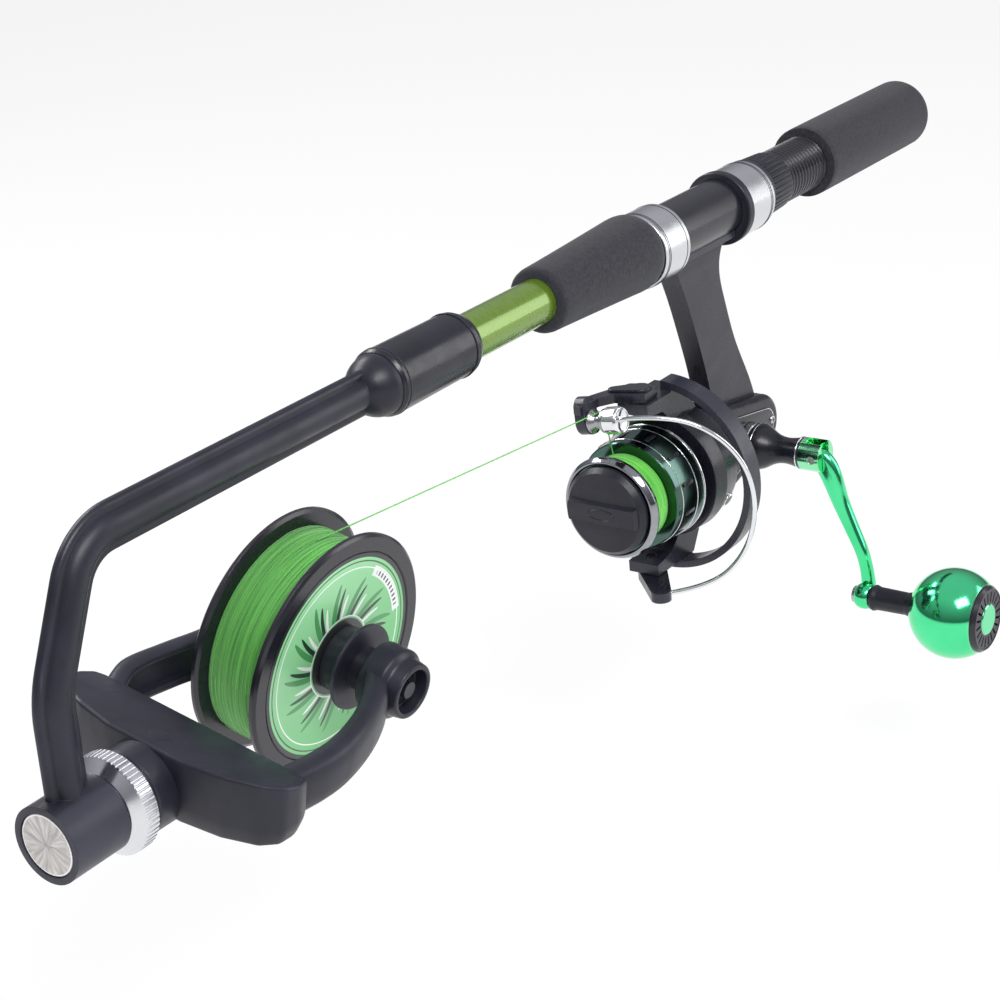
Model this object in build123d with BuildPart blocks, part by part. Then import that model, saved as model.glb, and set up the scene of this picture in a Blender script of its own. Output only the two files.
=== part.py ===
"""A hand-held fishing line winder: a rod handle with a spinning reel, and a yoke that holds a supply spool.

Millimetres. +X runs along the handle to its butt, +Z is up, and the reel hangs below the handle. The origin is
on the handle's axis, at the middle of the rear grip.
"""
from build123d import *
import math
import os

os.makedirs("parts", exist_ok=True)

# ---------------------------------------------------------------- driving dimensions
# Fits and clearances
running_fit = 0.05          # radial, a shaft in its bearing
sliding_fit = 0.08          # radial, a ring that slides on the seat tube
free_gap = 0.3              # between faces of pieces that move past each other

# Handle, stations along X
grip_radius = 15.5
rear_grip_length = 99.0
grip_front_edge = 1.2       # rounding of the rear grip's front edge
grip_butt_edge = 8.0        # rounding of its butt
rod_radius = 8.8
rod_wall = 1.1
rod_rear = 42.0
rod_front = -345.0
front_grip_length = 68.0
front_grip_small_radius = 12.9
front_grip_large_radius = 15.7

# Reel seat
seat_radius = 12.0
thread_pitch = 2.6
thread_depth = 0.9
thread_turns = 20
thread_relief = 0.02        # crests lie this far below the seat tube
lock_nut_length = 19.6
lock_nut_radius = 13.4
lock_nut_taper = 0.7
lock_nut_flutes = 36
thread_shown = 32.5         # thread left bare between the nut and the rear grip
hood_length = 18.2
hood_radius = 15.2
hood_drop = 1.0             # a hood's outer ring sits lower than the handle's axis, over the foot
liner_length = 4.4
seat_shown = 47.0           # seat tube left bare between the hoods

# Arm and swivel
sleeve_length = 46.4
sleeve_radius = 11.9
bare_rod_length = 49.6
dome_radius = 11.2
dome_length = 11.5
arm_core_radius = 5.3
arm_web_depth = 16.0
arm_web_thickness = 3.8
arm_corner_x = -497.0
arm_corner_radius = 20.0
arm_knee = (-517.3, -42.0)
arm_knee_radius = 36.0
swivel_x = -518.3           # middle of the boss
swivel_z = -86.1            # axis of the swivel
boss_radius = 13.1
boss_length = 22.5
cap_radius = 10.65
cap_thickness = 1.1
bolt_radius = 4.0
bolt_head_radius = 6.8
swivel_knob_radius = 16.9
swivel_knob_flutes = 60

# Yoke, in its own frame: X as the handle's, leaned about the swivel
yoke_lean = 12.15           # degrees, the far side is higher
collar_radius = 15.0
yoke_back_x = -461.0
yoke_front_x = -488.0
yoke_half_width = 47.0
yoke_height = 18.0
yoke_arm_height = 16.0
yoke_channel_depth = 3.0
hub_ring_radius = 12.5
hub_tube_radius = 9.8
hub_bore_radius = 7.94

# Supply spool, along its own axis, 0 at the near flange's face
supply_x = -391.0
flange_radius = 44.7
flange_rim = 3.0
supply_width = 28.3
supply_hub_radius = 14.0
supply_bore_radius = 8.0
label_radius = 37.9
label_thickness = 0.35
supply_fill_radius = 38.7   # the wound line is a plain solid here

# Reel
reel_z = -98.5              # axis of the reel's main shaft
lip_x = -221.0              # front of the spool's lip
lip_radius = 21.8
lip_length = 4.6
reel_fill_radius = 18.7
reel_fill_length = 10.7
skirt_radius = 23.0
skirt_end_radius = 24.3
skirt_length = 17.3
skirt_wall = 1.1
drag_knob_radius = 18.6
shaft_radius = 1.8
pinion_radius = 3.2
rotor_base_radius = 27.0
band_radius = 41.5
band_thickness = 3.0
band_width = 9.0
bail_pivot_x = -192.0
roller_x = -213.0
roller_height = 34.5        # the line roller's axis above the reel's axis
roller_y = 6.0              # and its side of the reel's middle plane
roller_groove_radius = 3.2
bail_wire_radius = 1.05
bail_pivot_radius = 2.0

# Crank
crank_x = -125.0
drive_shaft_radius = 3.2
crank_z = reel_z - shaft_radius - drive_shaft_radius - free_gap     # the crank's shaft passes below the main shaft
crank_arm_length = 59.2
stem_length = 23.0
fold_y = -43.0              # the fold pin
arm_y = -65.0               # the arm's outer end
ball_y = -106.0
ball_radius = 19.0
spindle_radius = 2.5
vent_slots = 20

# Line
line_radius = 0.25
line_gap = 0.05             # between the line and what it lies on


# ---------------------------------------------------------------- helpers
def turn(plane, points, mode=Mode.ADD):
    """Turns a closed outline of (station, radius) points about the plane's own X direction."""
    with BuildSketch(plane) as outline:
        with BuildLine():
            Polyline(*points, close=True)
        make_face()
    revolve(outline.sketch, axis=Axis(plane.origin, plane.x_dir), mode=mode)


def ring(plane, start, end, inner, outer, mode=Mode.ADD):
    """A plain ring or tube from start to end along the plane's X direction."""
    turn(plane, [(start, inner), (end, inner), (end, outer), (start, outer)], mode)


def across(x, y=0.0, z=0.0):
    """A plane square to X, with Y and Z as its own axes."""
    return Plane(origin=(x, y, z), x_dir=(0, 1, 0), z_dir=(1, 0, 0))


# ---------------------------------------------------------------- frames and stations
rod_axis = Plane.XZ
reel_axis = Plane(origin=(0, 0, reel_z), x_dir=(1, 0, 0), z_dir=(0, -1, 0))
swivel_axis = Plane(origin=(0, 0, swivel_z), x_dir=(1, 0, 0), z_dir=(0, -1, 0))
crank_axis = Plane(origin=(crank_x, 0, crank_z), x_dir=(0, 1, 0), z_dir=(1, 0, 0))
knob_axis = Plane(origin=(crank_x - 4, 0, crank_z - crank_arm_length), x_dir=(0, 1, 0), z_dir=(1, 0, 0))

lean = math.radians(yoke_lean)
yoke_across = Vector(0, math.cos(lean), math.sin(lean))
yoke_up = Vector(0, -math.sin(lean), math.cos(lean))
yoke_frame = Plane(origin=(0, 0, swivel_z), x_dir=(1, 0, 0), z_dir=yoke_up)
supply_axis = Plane(origin=(supply_x, 0, swivel_z), x_dir=yoke_across, z_dir=(1, 0, 0))

rear_grip_front = -rear_grip_length / 2
nut_rear = rear_grip_front - thread_shown
nut_front = nut_rear - lock_nut_length
hood_rear = nut_front - 0.1
hood_front = hood_rear - hood_length
liner_front = hood_front - liner_length
front_hood_rear = liner_front - seat_shown
front_hood_front = front_hood_rear - hood_length
front_grip_front = front_hood_front - front_grip_length
sleeve_rear = front_grip_front - bare_rod_length
sleeve_front = sleeve_rear - sleeve_length
boss_front = swivel_x - boss_length / 2
boss_back = swivel_x + boss_length / 2

# The reel's foot, held at both ends by the hoods
foot_front = front_hood_rear - 14.0
foot_rear = liner_front + liner_length + 12.5
foot_half_width = 8.0
foot_thickness = 2.2
foot_clearance = 0.15

# ---------------------------------------------------------------- handle
with BuildPart() as rod_tube:
    ring(rod_axis, rod_front, rod_rear, rod_radius - rod_wall, rod_radius)
rod_tube.part.label = "rod_tube"
export_step(rod_tube.part, "parts/rod_tube.step")

with BuildPart() as rear_grip:
    ring(rod_axis, rear_grip_front, rear_grip_length / 2, 0, grip_radius)
    fillet(rear_grip.edges().filter_by(GeomType.CIRCLE).sort_by(Axis.X)[-1], grip_butt_edge)
    fillet(rear_grip.edges().filter_by(GeomType.CIRCLE).sort_by(Axis.X)[0], grip_front_edge)
    ring(rod_axis, rear_grip_front, rod_rear, 0, rod_radius, Mode.SUBTRACT)
rear_grip.part.label = "rear_grip"
export_step(rear_grip.part, "parts/rear_grip.step")

# The front grip swells towards the reel seat, then rounds into the hood.
grip_bulge_x = front_hood_front - 7.0
with BuildPart() as front_grip:
    with BuildSketch(rod_axis) as grip_outline:
        with BuildLine():
            Line((front_grip_front, rod_radius), (front_hood_front, rod_radius))
            Line((front_hood_front, rod_radius), (front_hood_front, hood_radius - 1.0))
            ThreePointArc((front_hood_front, hood_radius - 1.0),
                          (front_hood_front - 2.6, front_grip_large_radius - 0.45),
                          (grip_bulge_x, front_grip_large_radius))
            Line((grip_bulge_x, front_grip_large_radius), (front_grip_front + 1.5, front_grip_small_radius))
            ThreePointArc((front_grip_front + 1.5, front_grip_small_radius),
                          (front_grip_front + 0.45, front_grip_small_radius - 0.5),
                          (front_grip_front, front_grip_small_radius - 1.6))
            Line((front_grip_front, front_grip_small_radius - 1.6), (front_grip_front, rod_radius))
        make_face()
    revolve(grip_outline.sketch, axis=Axis.X)
front_grip.part.label = "front_grip"
export_step(front_grip.part, "parts/front_grip.step")

# Seat tube with its thread at the rear, cut below the tube's own surface
with BuildPart() as reel_seat:
    seat_outline = [(front_hood_front, rod_radius), (rear_grip_front, rod_radius)]
    for thread in range(thread_turns):
        crest = rear_grip_front - thread * thread_pitch
        seat_outline += [(crest, seat_radius - thread_depth), (crest - 0.9, seat_radius - thread_relief)]
        seat_outline += [(crest - 1.7, seat_radius - thread_relief)]
        seat_outline += [(crest - thread_pitch + 0.2, seat_radius - thread_depth)]
    thread_front = rear_grip_front - thread_turns * thread_pitch
    seat_outline += [(thread_front, seat_radius - thread_depth), (thread_front - 0.5, seat_radius)]
    seat_outline += [(front_hood_front, seat_radius)]
    turn(rod_axis, seat_outline)
reel_seat.part.label = "reel_seat"
export_step(reel_seat.part, "parts/reel_seat.step")


def foot_pocket(start, end):
    """Cuts the room for one end of the reel's foot, between the seat tube and a hood's wall."""
    with BuildSketch(across(start)) as pocket:
        Circle(seat_radius + foot_thickness + foot_clearance)
        Circle(seat_radius - 0.1, mode=Mode.SUBTRACT)
        with Locations((0, -seat_radius)):
            Rectangle(2 * (foot_half_width + 0.2), 2 * seat_radius - 6, mode=Mode.INTERSECT)
    extrude(pocket.sketch, amount=end - start, mode=Mode.SUBTRACT)


def hood_ring(start, end, radius, bore, edge):
    """A hood's ring: its outside hangs lower than its bore."""
    with BuildSketch(across(start, z=-hood_drop)) as outside:
        Circle(radius)
    extrude(outside.sketch, amount=end - start)
    rims = [e for e in edges() if e.geom_type == GeomType.CIRCLE]
    fillet(rims, edge)
    ring(rod_axis, start, end, 0, bore, Mode.SUBTRACT)


with BuildPart() as front_hood:
    hood_ring(front_hood_front, front_hood_rear, hood_radius, seat_radius, 0.5)
    foot_pocket(foot_front - 0.2, front_hood_rear)
front_hood.part.label = "front_hood"
export_step(front_hood.part, "parts/front_hood.step")

with BuildPart() as rear_hood:
    hood_ring(hood_front, hood_rear, hood_radius - 0.3, seat_radius + sliding_fit, 0.4)
    foot_pocket(hood_front, foot_rear + 0.4)
rear_hood.part.label = "rear_hood"
export_step(rear_hood.part, "parts/rear_hood.step")

with BuildPart() as hood_liner:
    hood_ring(liner_front, hood_front, hood_radius + 0.35, seat_radius + sliding_fit, 0.9)
    foot_pocket(liner_front, hood_front)
hood_liner.part.label = "hood_liner"
export_step(hood_liner.part, "parts/hood_liner.step")

with BuildPart() as lock_nut:
    turn(rod_axis, [(nut_front, 0), (nut_rear, 0), (nut_rear, lock_nut_radius - lock_nut_taper),
                    (nut_front + 3.2, lock_nut_radius), (nut_front + 2.6, lock_nut_radius + 0.35),
                    (nut_front, lock_nut_radius + 0.35)])
    with BuildSketch(across(nut_front + 3.2)) as flutes:
        with PolarLocations(lock_nut_radius - 0.1, lock_nut_flutes):
            Circle(0.75)
    extrude(flutes.sketch, amount=lock_nut_length, mode=Mode.SUBTRACT)
    ring(rod_axis, nut_front, nut_rear, 0, seat_radius + sliding_fit, Mode.SUBTRACT)
lock_nut.part.label = "lock_nut"
export_step(lock_nut.part, "parts/lock_nut.step")

# ---------------------------------------------------------------- sleeve and arm
with BuildPart() as arm_sleeve:
    turn(rod_axis, [(sleeve_front, 0), (sleeve_rear, 0), (sleeve_rear, sleeve_radius - 1.0),
                    (sleeve_rear - 2.2, sleeve_radius), (sleeve_front + 1.2, sleeve_radius + 0.3),
                    (sleeve_front, sleeve_radius - 0.5)])
    ring(rod_axis, sleeve_front, sleeve_rear, 0, rod_radius, Mode.SUBTRACT)
arm_sleeve.part.label = "arm_sleeve"
export_step(arm_sleeve.part, "parts/arm_sleeve.step")

# The arm: a spigot in the sleeve, a dome, a webbed round bar bent down, and the swivel boss
dome_tip = sleeve_front - dome_length
with BuildPart() as winder_arm:
    with BuildSketch(rod_axis) as dome_outline:
        with BuildLine():
            Line((dome_tip, 0), (rod_front - 0.1, 0))
            Line((rod_front - 0.1, 0), (rod_front - 0.1, rod_radius))
            Line((rod_front - 0.1, rod_radius), (sleeve_front - 0.1, rod_radius))
            Line((sleeve_front - 0.1, rod_radius), (sleeve_front - 0.1, dome_radius))
            ThreePointArc((sleeve_front - 0.1, dome_radius), (sleeve_front - 0.72 * dome_length, 0.72 * dome_radius),
                          (dome_tip, arm_core_radius - 1.5))
            Line((dome_tip, arm_core_radius - 1.5), (dome_tip, 0))
        make_face()
    revolve(dome_outline.sketch, axis=Axis.X)
    with BuildLine() as arm_path:
        FilletPolyline((sleeve_front - 1.0, 0, 0), (arm_corner_x, 0, 0), (arm_knee[0], 0, arm_knee[1]),
                       (swivel_x, 0, swivel_z + 10.0), radius=[arm_corner_radius, arm_knee_radius])
    with BuildSketch(Plane(origin=(sleeve_front - 1.0, 0, 0), x_dir=(0, 1, 0), z_dir=(-1, 0, 0))) as arm_section:
        Circle(arm_core_radius)
        RectangleRounded(arm_web_thickness, arm_web_depth, arm_web_thickness * 0.45)
    sweep(arm_section.sketch, path=arm_path.wire())
    ring(swivel_axis, boss_front, boss_back, 0, boss_radius)
    ring(swivel_axis, boss_front, boss_front + cap_thickness + 0.3, 0, cap_radius + 0.1, Mode.SUBTRACT)
    ring(swivel_axis, boss_front, boss_front + 8.0, 0, bolt_head_radius + 0.6, Mode.SUBTRACT)
    ring(swivel_axis, boss_front, boss_back, 0, bolt_radius + running_fit, Mode.SUBTRACT)
winder_arm.part.label = "winder_arm"
export_step(winder_arm.part, "parts/winder_arm.step")

with BuildPart() as boss_cap:
    turn(swivel_axis, [(boss_front + 0.3, 0), (boss_front + 0.3 + cap_thickness, 0),
                       (boss_front + 0.3 + cap_thickness, cap_radius), (boss_front + 0.6, cap_radius),
                       (boss_front + 0.3, cap_radius - 0.4)])
boss_cap.part.label = "boss_cap"
export_step(boss_cap.part, "parts/boss_cap.step")

# Bolt through boss, knob and yoke: its head is held in the boss, its nut turns in the yoke's back.
nut_pocket_depth = 9.5
bolt_nut_length = 5.0
bolt_nut_front = yoke_back_x - nut_pocket_depth + free_gap
bolt_head_back = boss_front + 8.0
with BuildPart() as swivel_bolt:
    with BuildSketch(across(bolt_head_back - 5.5, z=swivel_z)) as bolt_head:
        RegularPolygon(bolt_head_radius, 6)
    extrude(bolt_head.sketch, amount=5.5)
    ring(swivel_axis, bolt_head_back - 1.0, bolt_nut_front + bolt_nut_length + 1.5, 0, bolt_radius)
swivel_bolt.part.label = "swivel_bolt"
export_step(swivel_bolt.part, "parts/swivel_bolt.step")

with BuildPart() as bolt_nut:
    with BuildSketch(across(bolt_nut_front, z=swivel_z)) as nut_outline:
        RegularPolygon(bolt_head_radius, 6)
        Circle(bolt_radius, mode=Mode.SUBTRACT)
    extrude(nut_outline.sketch, amount=bolt_nut_length)
bolt_nut.part.label = "bolt_nut"
export_step(bolt_nut.part, "parts/bolt_nut.step")

# Knurled clamping knob, dished towards the boss
knob_face = boss_back + free_gap
knob_rim_front = knob_face + 3.0
knob_rim_back = knob_rim_front + 5.6
knob_back = knob_rim_back + 1.9
with BuildPart() as swivel_knob:
    turn(swivel_axis, [(knob_face, 0), (knob_back, 0), (knob_back, collar_radius - 0.4),
                       (knob_rim_back, swivel_knob_radius - 0.6), (knob_rim_back - 0.4, swivel_knob_radius),
                       (knob_rim_front + 0.3, swivel_knob_radius), (knob_rim_front, swivel_knob_radius - 0.5),
                       (knob_face, boss_radius - 0.9)])
    with BuildSketch(across(knob_rim_front - 0.5, z=swivel_z)) as rim_flutes:
        with PolarLocations(swivel_knob_radius + 0.12, swivel_knob_flutes):
            Circle(0.5)
    extrude(rim_flutes.sketch, amount=knob_rim_back - knob_rim_front + 1.0, mode=Mode.SUBTRACT)
    ring(swivel_axis, knob_face, knob_back, 0, bolt_radius + running_fit, Mode.SUBTRACT)
swivel_knob.part.label = "swivel_knob"
export_step(swivel_knob.part, "parts/swivel_knob.step")

# ---------------------------------------------------------------- yoke
collar_front = knob_back + free_gap
tongue_length = 8.0
tongue_inner = 34.5
tongue_outer = 39.5
tongue_half_height = 5.0
with BuildPart() as yoke_bar:
    with BuildSketch(yoke_frame.offset(-yoke_height / 6)) as bar_outline:
        with BuildLine():
            half_bar = [(yoke_back_x, 42.0), (yoke_back_x - 2.0, yoke_half_width - 1),
                        (yoke_back_x - 13.0, yoke_half_width), (yoke_front_x + 8.0, 43.5),
                        (yoke_front_x + 2.0, 30.0), (yoke_front_x, 13.0)]
            Polyline(*half_bar, *[(x, -y) for x, y in reversed(half_bar)], close=True)
        make_face()
    extrude(bar_outline.sketch, amount=yoke_height * 2 / 3)
    extrude(bar_outline.sketch, amount=-yoke_height / 3, taper=18)
    turn(swivel_axis, [(collar_front, 0), (yoke_front_x + 6.0, 0), (yoke_front_x + 6.0, collar_radius + 1.0),
                       (collar_front + 4.0, collar_radius + 0.4), (collar_front, collar_radius)])
    ring(swivel_axis, collar_front, yoke_back_x + 1.0, 0, bolt_radius + running_fit, Mode.SUBTRACT)
    ring(swivel_axis, yoke_back_x - nut_pocket_depth, yoke_back_x + 1.0, 0, bolt_head_radius + 0.7, Mode.SUBTRACT)
    for side in (-1, 1):
        with BuildSketch(yoke_frame.offset(-tongue_half_height)) as tongue_slot:
            with Locations((yoke_back_x - tongue_length / 2, side * (tongue_inner + tongue_outer) / 2)):
                Rectangle(tongue_length, tongue_outer - tongue_inner)
        extrude(tongue_slot.sketch, amount=2 * tongue_half_height, mode=Mode.SUBTRACT)
yoke_bar.part.label = "yoke_bar"
export_step(yoke_bar.part, "parts/yoke_bar.step")

# The arms' outlines seen from above, from the bar to the hub: outer edge, then inner edge
near_outer = [(yoke_back_x, -41.5), (-449.0, -43.0), (-436.0, -42.5), (-420.0, -38.5), (-404.0, -32.0)]
near_outer += [(supply_x, -27.0)]
near_inner = [(yoke_back_x, -32.5), (-449.0, -34.5), (-437.0, -34.5), (-422.0, -31.0), (-410.0, -25.0)]
near_inner += [(supply_x, -18.0)]
far_outer = [(yoke_back_x, 41.5), (-450.0, 46.0), (-434.0, 43.5), (-419.0, 40.0), (-404.0, 38.6)]
far_outer += [(supply_x, 38.6)]
far_inner = [(yoke_back_x, 32.5), (-450.0, 37.5), (-434.0, 35.5), (-419.0, 32.0), (-404.0, 31.4)]
far_inner += [(supply_x, 31.4)]


def yoke_arm_body(outer, inner, side):
    """A yoke arm's channel, its tongue in the bar, and the hollow along its inner side."""
    half = yoke_arm_height / 2
    with BuildSketch(yoke_frame.offset(-half)) as arm_outline:
        with BuildLine():
            Polyline(*outer, *reversed(inner), close=True)
        make_face()
    extrude(arm_outline.sketch, amount=yoke_arm_height)
    with BuildSketch(yoke_frame.offset(-tongue_half_height)) as tongue:
        with Locations((yoke_back_x - tongue_length / 2 + 0.05, side * (tongue_inner + tongue_outer) / 2)):
            Rectangle(tongue_length, tongue_outer - tongue_inner)
    extrude(tongue.sketch, amount=2 * tongue_half_height)
    floor = [(x, y + side * yoke_channel_depth) for x, y in inner]
    hollow = [(x + 3.0, y) if n == 0 else (x, y) for n, (x, y) in enumerate(floor[:-1])]
    mouth = [(x + 3.0, y) if n == 0 else (x, y) for n, (x, y) in enumerate(inner[:-1])]
    with BuildSketch(yoke_frame.offset(-half + 2.4)) as channel:
        with BuildLine():
            Polyline(*hollow, *[(x, y - side * 1.0) for x, y in reversed(mouth)], close=True)
        make_face()
    extrude(channel.sketch, amount=yoke_arm_height - 4.8, mode=Mode.SUBTRACT)


hub_ring_inner = -17.0
hub_ring_outer = -27.0
hub_end = -32.4
hub_web = (-27.0, -25.0)    # a wall across the bore that steadies the plunger's stem
plunger_stem_radius = 3.0
with BuildPart() as yoke_arm_near:
    yoke_arm_body(near_outer, near_inner, -1)
    turn(supply_axis, [(hub_end, 0), (hub_ring_inner, 0), (hub_ring_inner, hub_ring_radius - 0.8),
                       (hub_ring_inner - 1.0, hub_ring_radius), (hub_ring_outer + 1.5, hub_ring_radius),
                       (hub_ring_outer, hub_tube_radius + 0.9), (hub_end + 0.6, hub_tube_radius),
                       (hub_end, hub_tube_radius - 0.6)])
    ring(supply_axis, hub_web[1], hub_ring_inner + 1.0, 0, hub_bore_radius, Mode.SUBTRACT)
    ring(supply_axis, hub_end, hub_web[0], 0, hub_bore_radius, Mode.SUBTRACT)
    ring(supply_axis, hub_web[0], hub_web[1], 0, plunger_stem_radius + running_fit, Mode.SUBTRACT)
yoke_arm_near.part.label = "yoke_arm_near"
export_step(yoke_arm_near.part, "parts/yoke_arm_near.step")

far_ring_inner = 31.0
far_ring_outer = 39.0
far_stem_radius = 4.9
with BuildPart() as yoke_arm_far:
    yoke_arm_body(far_outer, far_inner, 1)
    turn(supply_axis, [(far_ring_inner, 0), (far_ring_outer, 0), (far_ring_outer, hub_ring_radius - 1.0),
                       (far_ring_outer - 1.0, hub_ring_radius), (far_ring_inner, hub_ring_radius)])
    ring(supply_axis, far_ring_inner, far_ring_outer, 0, far_stem_radius, Mode.SUBTRACT)
yoke_arm_far.part.label = "yoke_arm_far"
export_step(yoke_arm_far.part, "parts/yoke_arm_far.step")

# Fixed centre on the far side, and the sprung centre on the near side
supply_far_face = supply_width - 0.4
with BuildPart() as far_centre:
    nose_radius = supply_bore_radius - running_fit
    turn(supply_axis, [(supply_far_face - 6.0, 0), (far_ring_outer + 2.0, 0), (far_ring_outer + 2.0, 6.4),
                       (far_ring_outer + 1.4, 7.0), (far_ring_outer, 7.0), (far_ring_outer, far_stem_radius),
                       (far_ring_inner, far_stem_radius), (far_ring_inner, 11.5), (supply_far_face + free_gap, 11.5),
                       (supply_far_face + free_gap, nose_radius), (supply_far_face - 3.5, nose_radius),
                       (supply_far_face - 6.0, nose_radius - 2.0)])
far_centre.part.label = "far_centre"
export_step(far_centre.part, "parts/far_centre.step")

supply_near_face = -0.4
barrel_face = supply_near_face - free_gap
plunger_neck_end = -18.5
with BuildPart() as hub_plunger:
    nose_radius = supply_bore_radius - running_fit
    neck_radius = hub_bore_radius - running_fit
    turn(supply_axis, [(4.5, 0), (4.5, nose_radius - 2.0), (2.2, nose_radius), (barrel_face, nose_radius),
                       (barrel_face, 11.0), (barrel_face - 0.6, 11.7), (-7.5, 12.4), (-8.6, 15.3), (-9.3, 15.7),
                       (-10.2, 15.5), (-10.6, 11.0), (-10.9, neck_radius), (plunger_neck_end, neck_radius),
                       (plunger_neck_end, plunger_stem_radius), (hub_end + 1.6, plunger_stem_radius),
                       (hub_end + 1.6, 0)])
hub_plunger.part.label = "hub_plunger"
export_step(hub_plunger.part, "parts/hub_plunger.step")

# ---------------------------------------------------------------- supply spool
flange_inner_near = supply_near_face + flange_rim
flange_inner_far = supply_far_face - flange_rim
label_seat = 0.6
with BuildPart() as supply_spool:
    near_profile = [(supply_near_face + label_seat, supply_bore_radius),
                    (supply_near_face + label_seat, label_radius + 0.4),
                    (supply_near_face, label_radius + 0.8), (supply_near_face, flange_radius - 1.1),
                    (supply_near_face + 0.9, flange_radius), (flange_inner_near - 0.8, flange_radius),
                    (flange_inner_near, flange_radius - 1.4), (flange_inner_near, supply_hub_radius)]
    far_profile = [(supply_near_face + supply_far_face - y, r) for y, r in reversed(near_profile)]
    turn(supply_axis, near_profile + far_profile)
supply_spool.part.label = "supply_spool"
export_step(supply_spool.part, "parts/supply_spool.step")

with BuildPart() as spool_labels:
    near_seat = supply_near_face + label_seat
    far_seat = supply_far_face - label_seat
    ring(supply_axis, near_seat - label_thickness, near_seat, supply_bore_radius + 1.5, label_radius)
    ring(supply_axis, far_seat, far_seat + label_thickness, supply_bore_radius + 1.5, label_radius)
spool_labels.part.label = "spool_labels"
export_step(spool_labels.part, "parts/spool_labels.step")

with BuildPart() as supply_winding:
    ring(supply_axis, flange_inner_near, flange_inner_far, supply_hub_radius, supply_fill_radius)
supply_winding.part.label = "supply_winding"
export_step(supply_winding.part, "parts/supply_winding.step")

# ---------------------------------------------------------------- reel: stem and housing
housing_front = -158.0
housing_near = -9.6
housing_far = 7.2
cover_thickness = 2.4
housing_wall = 2.0
front_bearing_radius = 6.5
crank_bearing_radius = 6.0
front_lobe = (-139.0, reel_z - 2.0, 18.5)
tail_lobe = (-110.0, reel_z - 1.0, 12.5)


def gearbox_outline(shrink):
    """The gearbox's side outline: a hull round its two lobes, drawn in by shrink."""
    with BuildSketch(Plane.XZ) as outline:
        for x, z, radius in (front_lobe, tail_lobe):
            with Locations((x, z)):
                Circle(radius - shrink)
        make_hull()
    return outline.sketch


def on_y(sketch, start, end, mode=Mode.ADD):
    """Extrudes a sketch of the XZ plane from one Y station to another."""
    extrude(sketch.moved(Location((0, end, 0))), amount=end - start, mode=mode)


with BuildPart() as reel_housing:
    on_y(gearbox_outline(0), housing_near, housing_far)
    fillet(reel_housing.faces().sort_by(Axis.Y)[0].edges(), 3.0)
    # Stem: a curved blade from the gearbox up to the foot
    with BuildSketch(Plane.XZ) as stem_side:
        with BuildLine():
            Spline((-168.0, -seat_radius - 1.0), (-162.0, -25.0), (-154.0, -46.0), (-147.5, -66.0), (-143.5, -84.0))
            Line((-143.5, -84.0), (-108.0, -92.0))
            Spline((-108.0, -92.0), (-114.0, -76.0), (-123.5, -57.0), (-130.0, -38.0), (-133.0, -22.0),
                   (-129.0, -seat_radius - 1.0))
            Line((-129.0, -seat_radius - 1.0), (-168.0, -seat_radius - 1.0))
        make_face()
    extrude(stem_side.sketch, amount=4.6, both=True)
    with BuildSketch(across(foot_front)) as foot_section:
        Circle(seat_radius + foot_thickness)
        Circle(seat_radius + 0.03, mode=Mode.SUBTRACT)
        with Locations((0, -seat_radius)):
            Rectangle(2 * foot_half_width, 2 * seat_radius - 6, mode=Mode.INTERSECT)
    extrude(foot_section.sketch, amount=foot_rear - foot_front)
    ring(reel_axis, housing_front, housing_front + 8.0, 0, 16.0)
    ring(crank_axis, housing_near - 1.0, housing_near + 4.0, 0, 10.0)
    # Inside: the gear space, the bores for the shaft, the bearings and the crank
    on_y(gearbox_outline(housing_wall + 0.4), housing_near + housing_wall, housing_far + 1.0, Mode.SUBTRACT)
    ring(reel_axis, housing_front - 1.0, housing_front + 8.2, 0, front_bearing_radius, Mode.SUBTRACT)
    ring(crank_axis, housing_near - 2.0, housing_near + housing_wall + 3.0, 0, crank_bearing_radius, Mode.SUBTRACT)
    ring(rod_axis, foot_front - 1.0, foot_rear + 1.0, 0, seat_radius + 0.03, Mode.SUBTRACT)
reel_housing.part.label = "reel_housing"
export_step(reel_housing.part, "parts/reel_housing.step")

cover_screw_spots = [(-143.5, reel_z + 11.0), (-143.0, reel_z - 15.0), (-103.0, reel_z - 1.0)]
with BuildPart() as side_cover:
    on_y(gearbox_outline(0), housing_far, housing_far + cover_thickness)
    fillet(side_cover.faces().sort_by(Axis.Y)[-1].edges(), 1.6)
    ring(crank_axis, housing_far, housing_far + 3.4, 0, 8.0)
    ring(crank_axis, housing_far, housing_far + 2.2, 0, crank_bearing_radius, Mode.SUBTRACT)
    ring(reel_axis, housing_front - 1.0, housing_front + 8.1, 0, 16.1, Mode.SUBTRACT)
    for x, z in cover_screw_spots:
        ring(Plane(origin=(x, 0, z), x_dir=(0, 1, 0), z_dir=(1, 0, 0)), housing_far + 1.4, housing_far + 4.0, 0, 2.1,
             Mode.SUBTRACT)
side_cover.part.label = "side_cover"
export_step(side_cover.part, "parts/side_cover.step")

with BuildPart() as cover_screws:
    for x, z in cover_screw_spots:
        screw_axis = Plane(origin=(x, 0, z), x_dir=(0, 1, 0), z_dir=(1, 0, 0))
        ring(screw_axis, housing_far + 1.4, housing_far + cover_thickness, 0, 2.0)
cover_screws.part.label = "cover_screws"
export_step(cover_screws.part, "parts/cover_screws.step")

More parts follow.
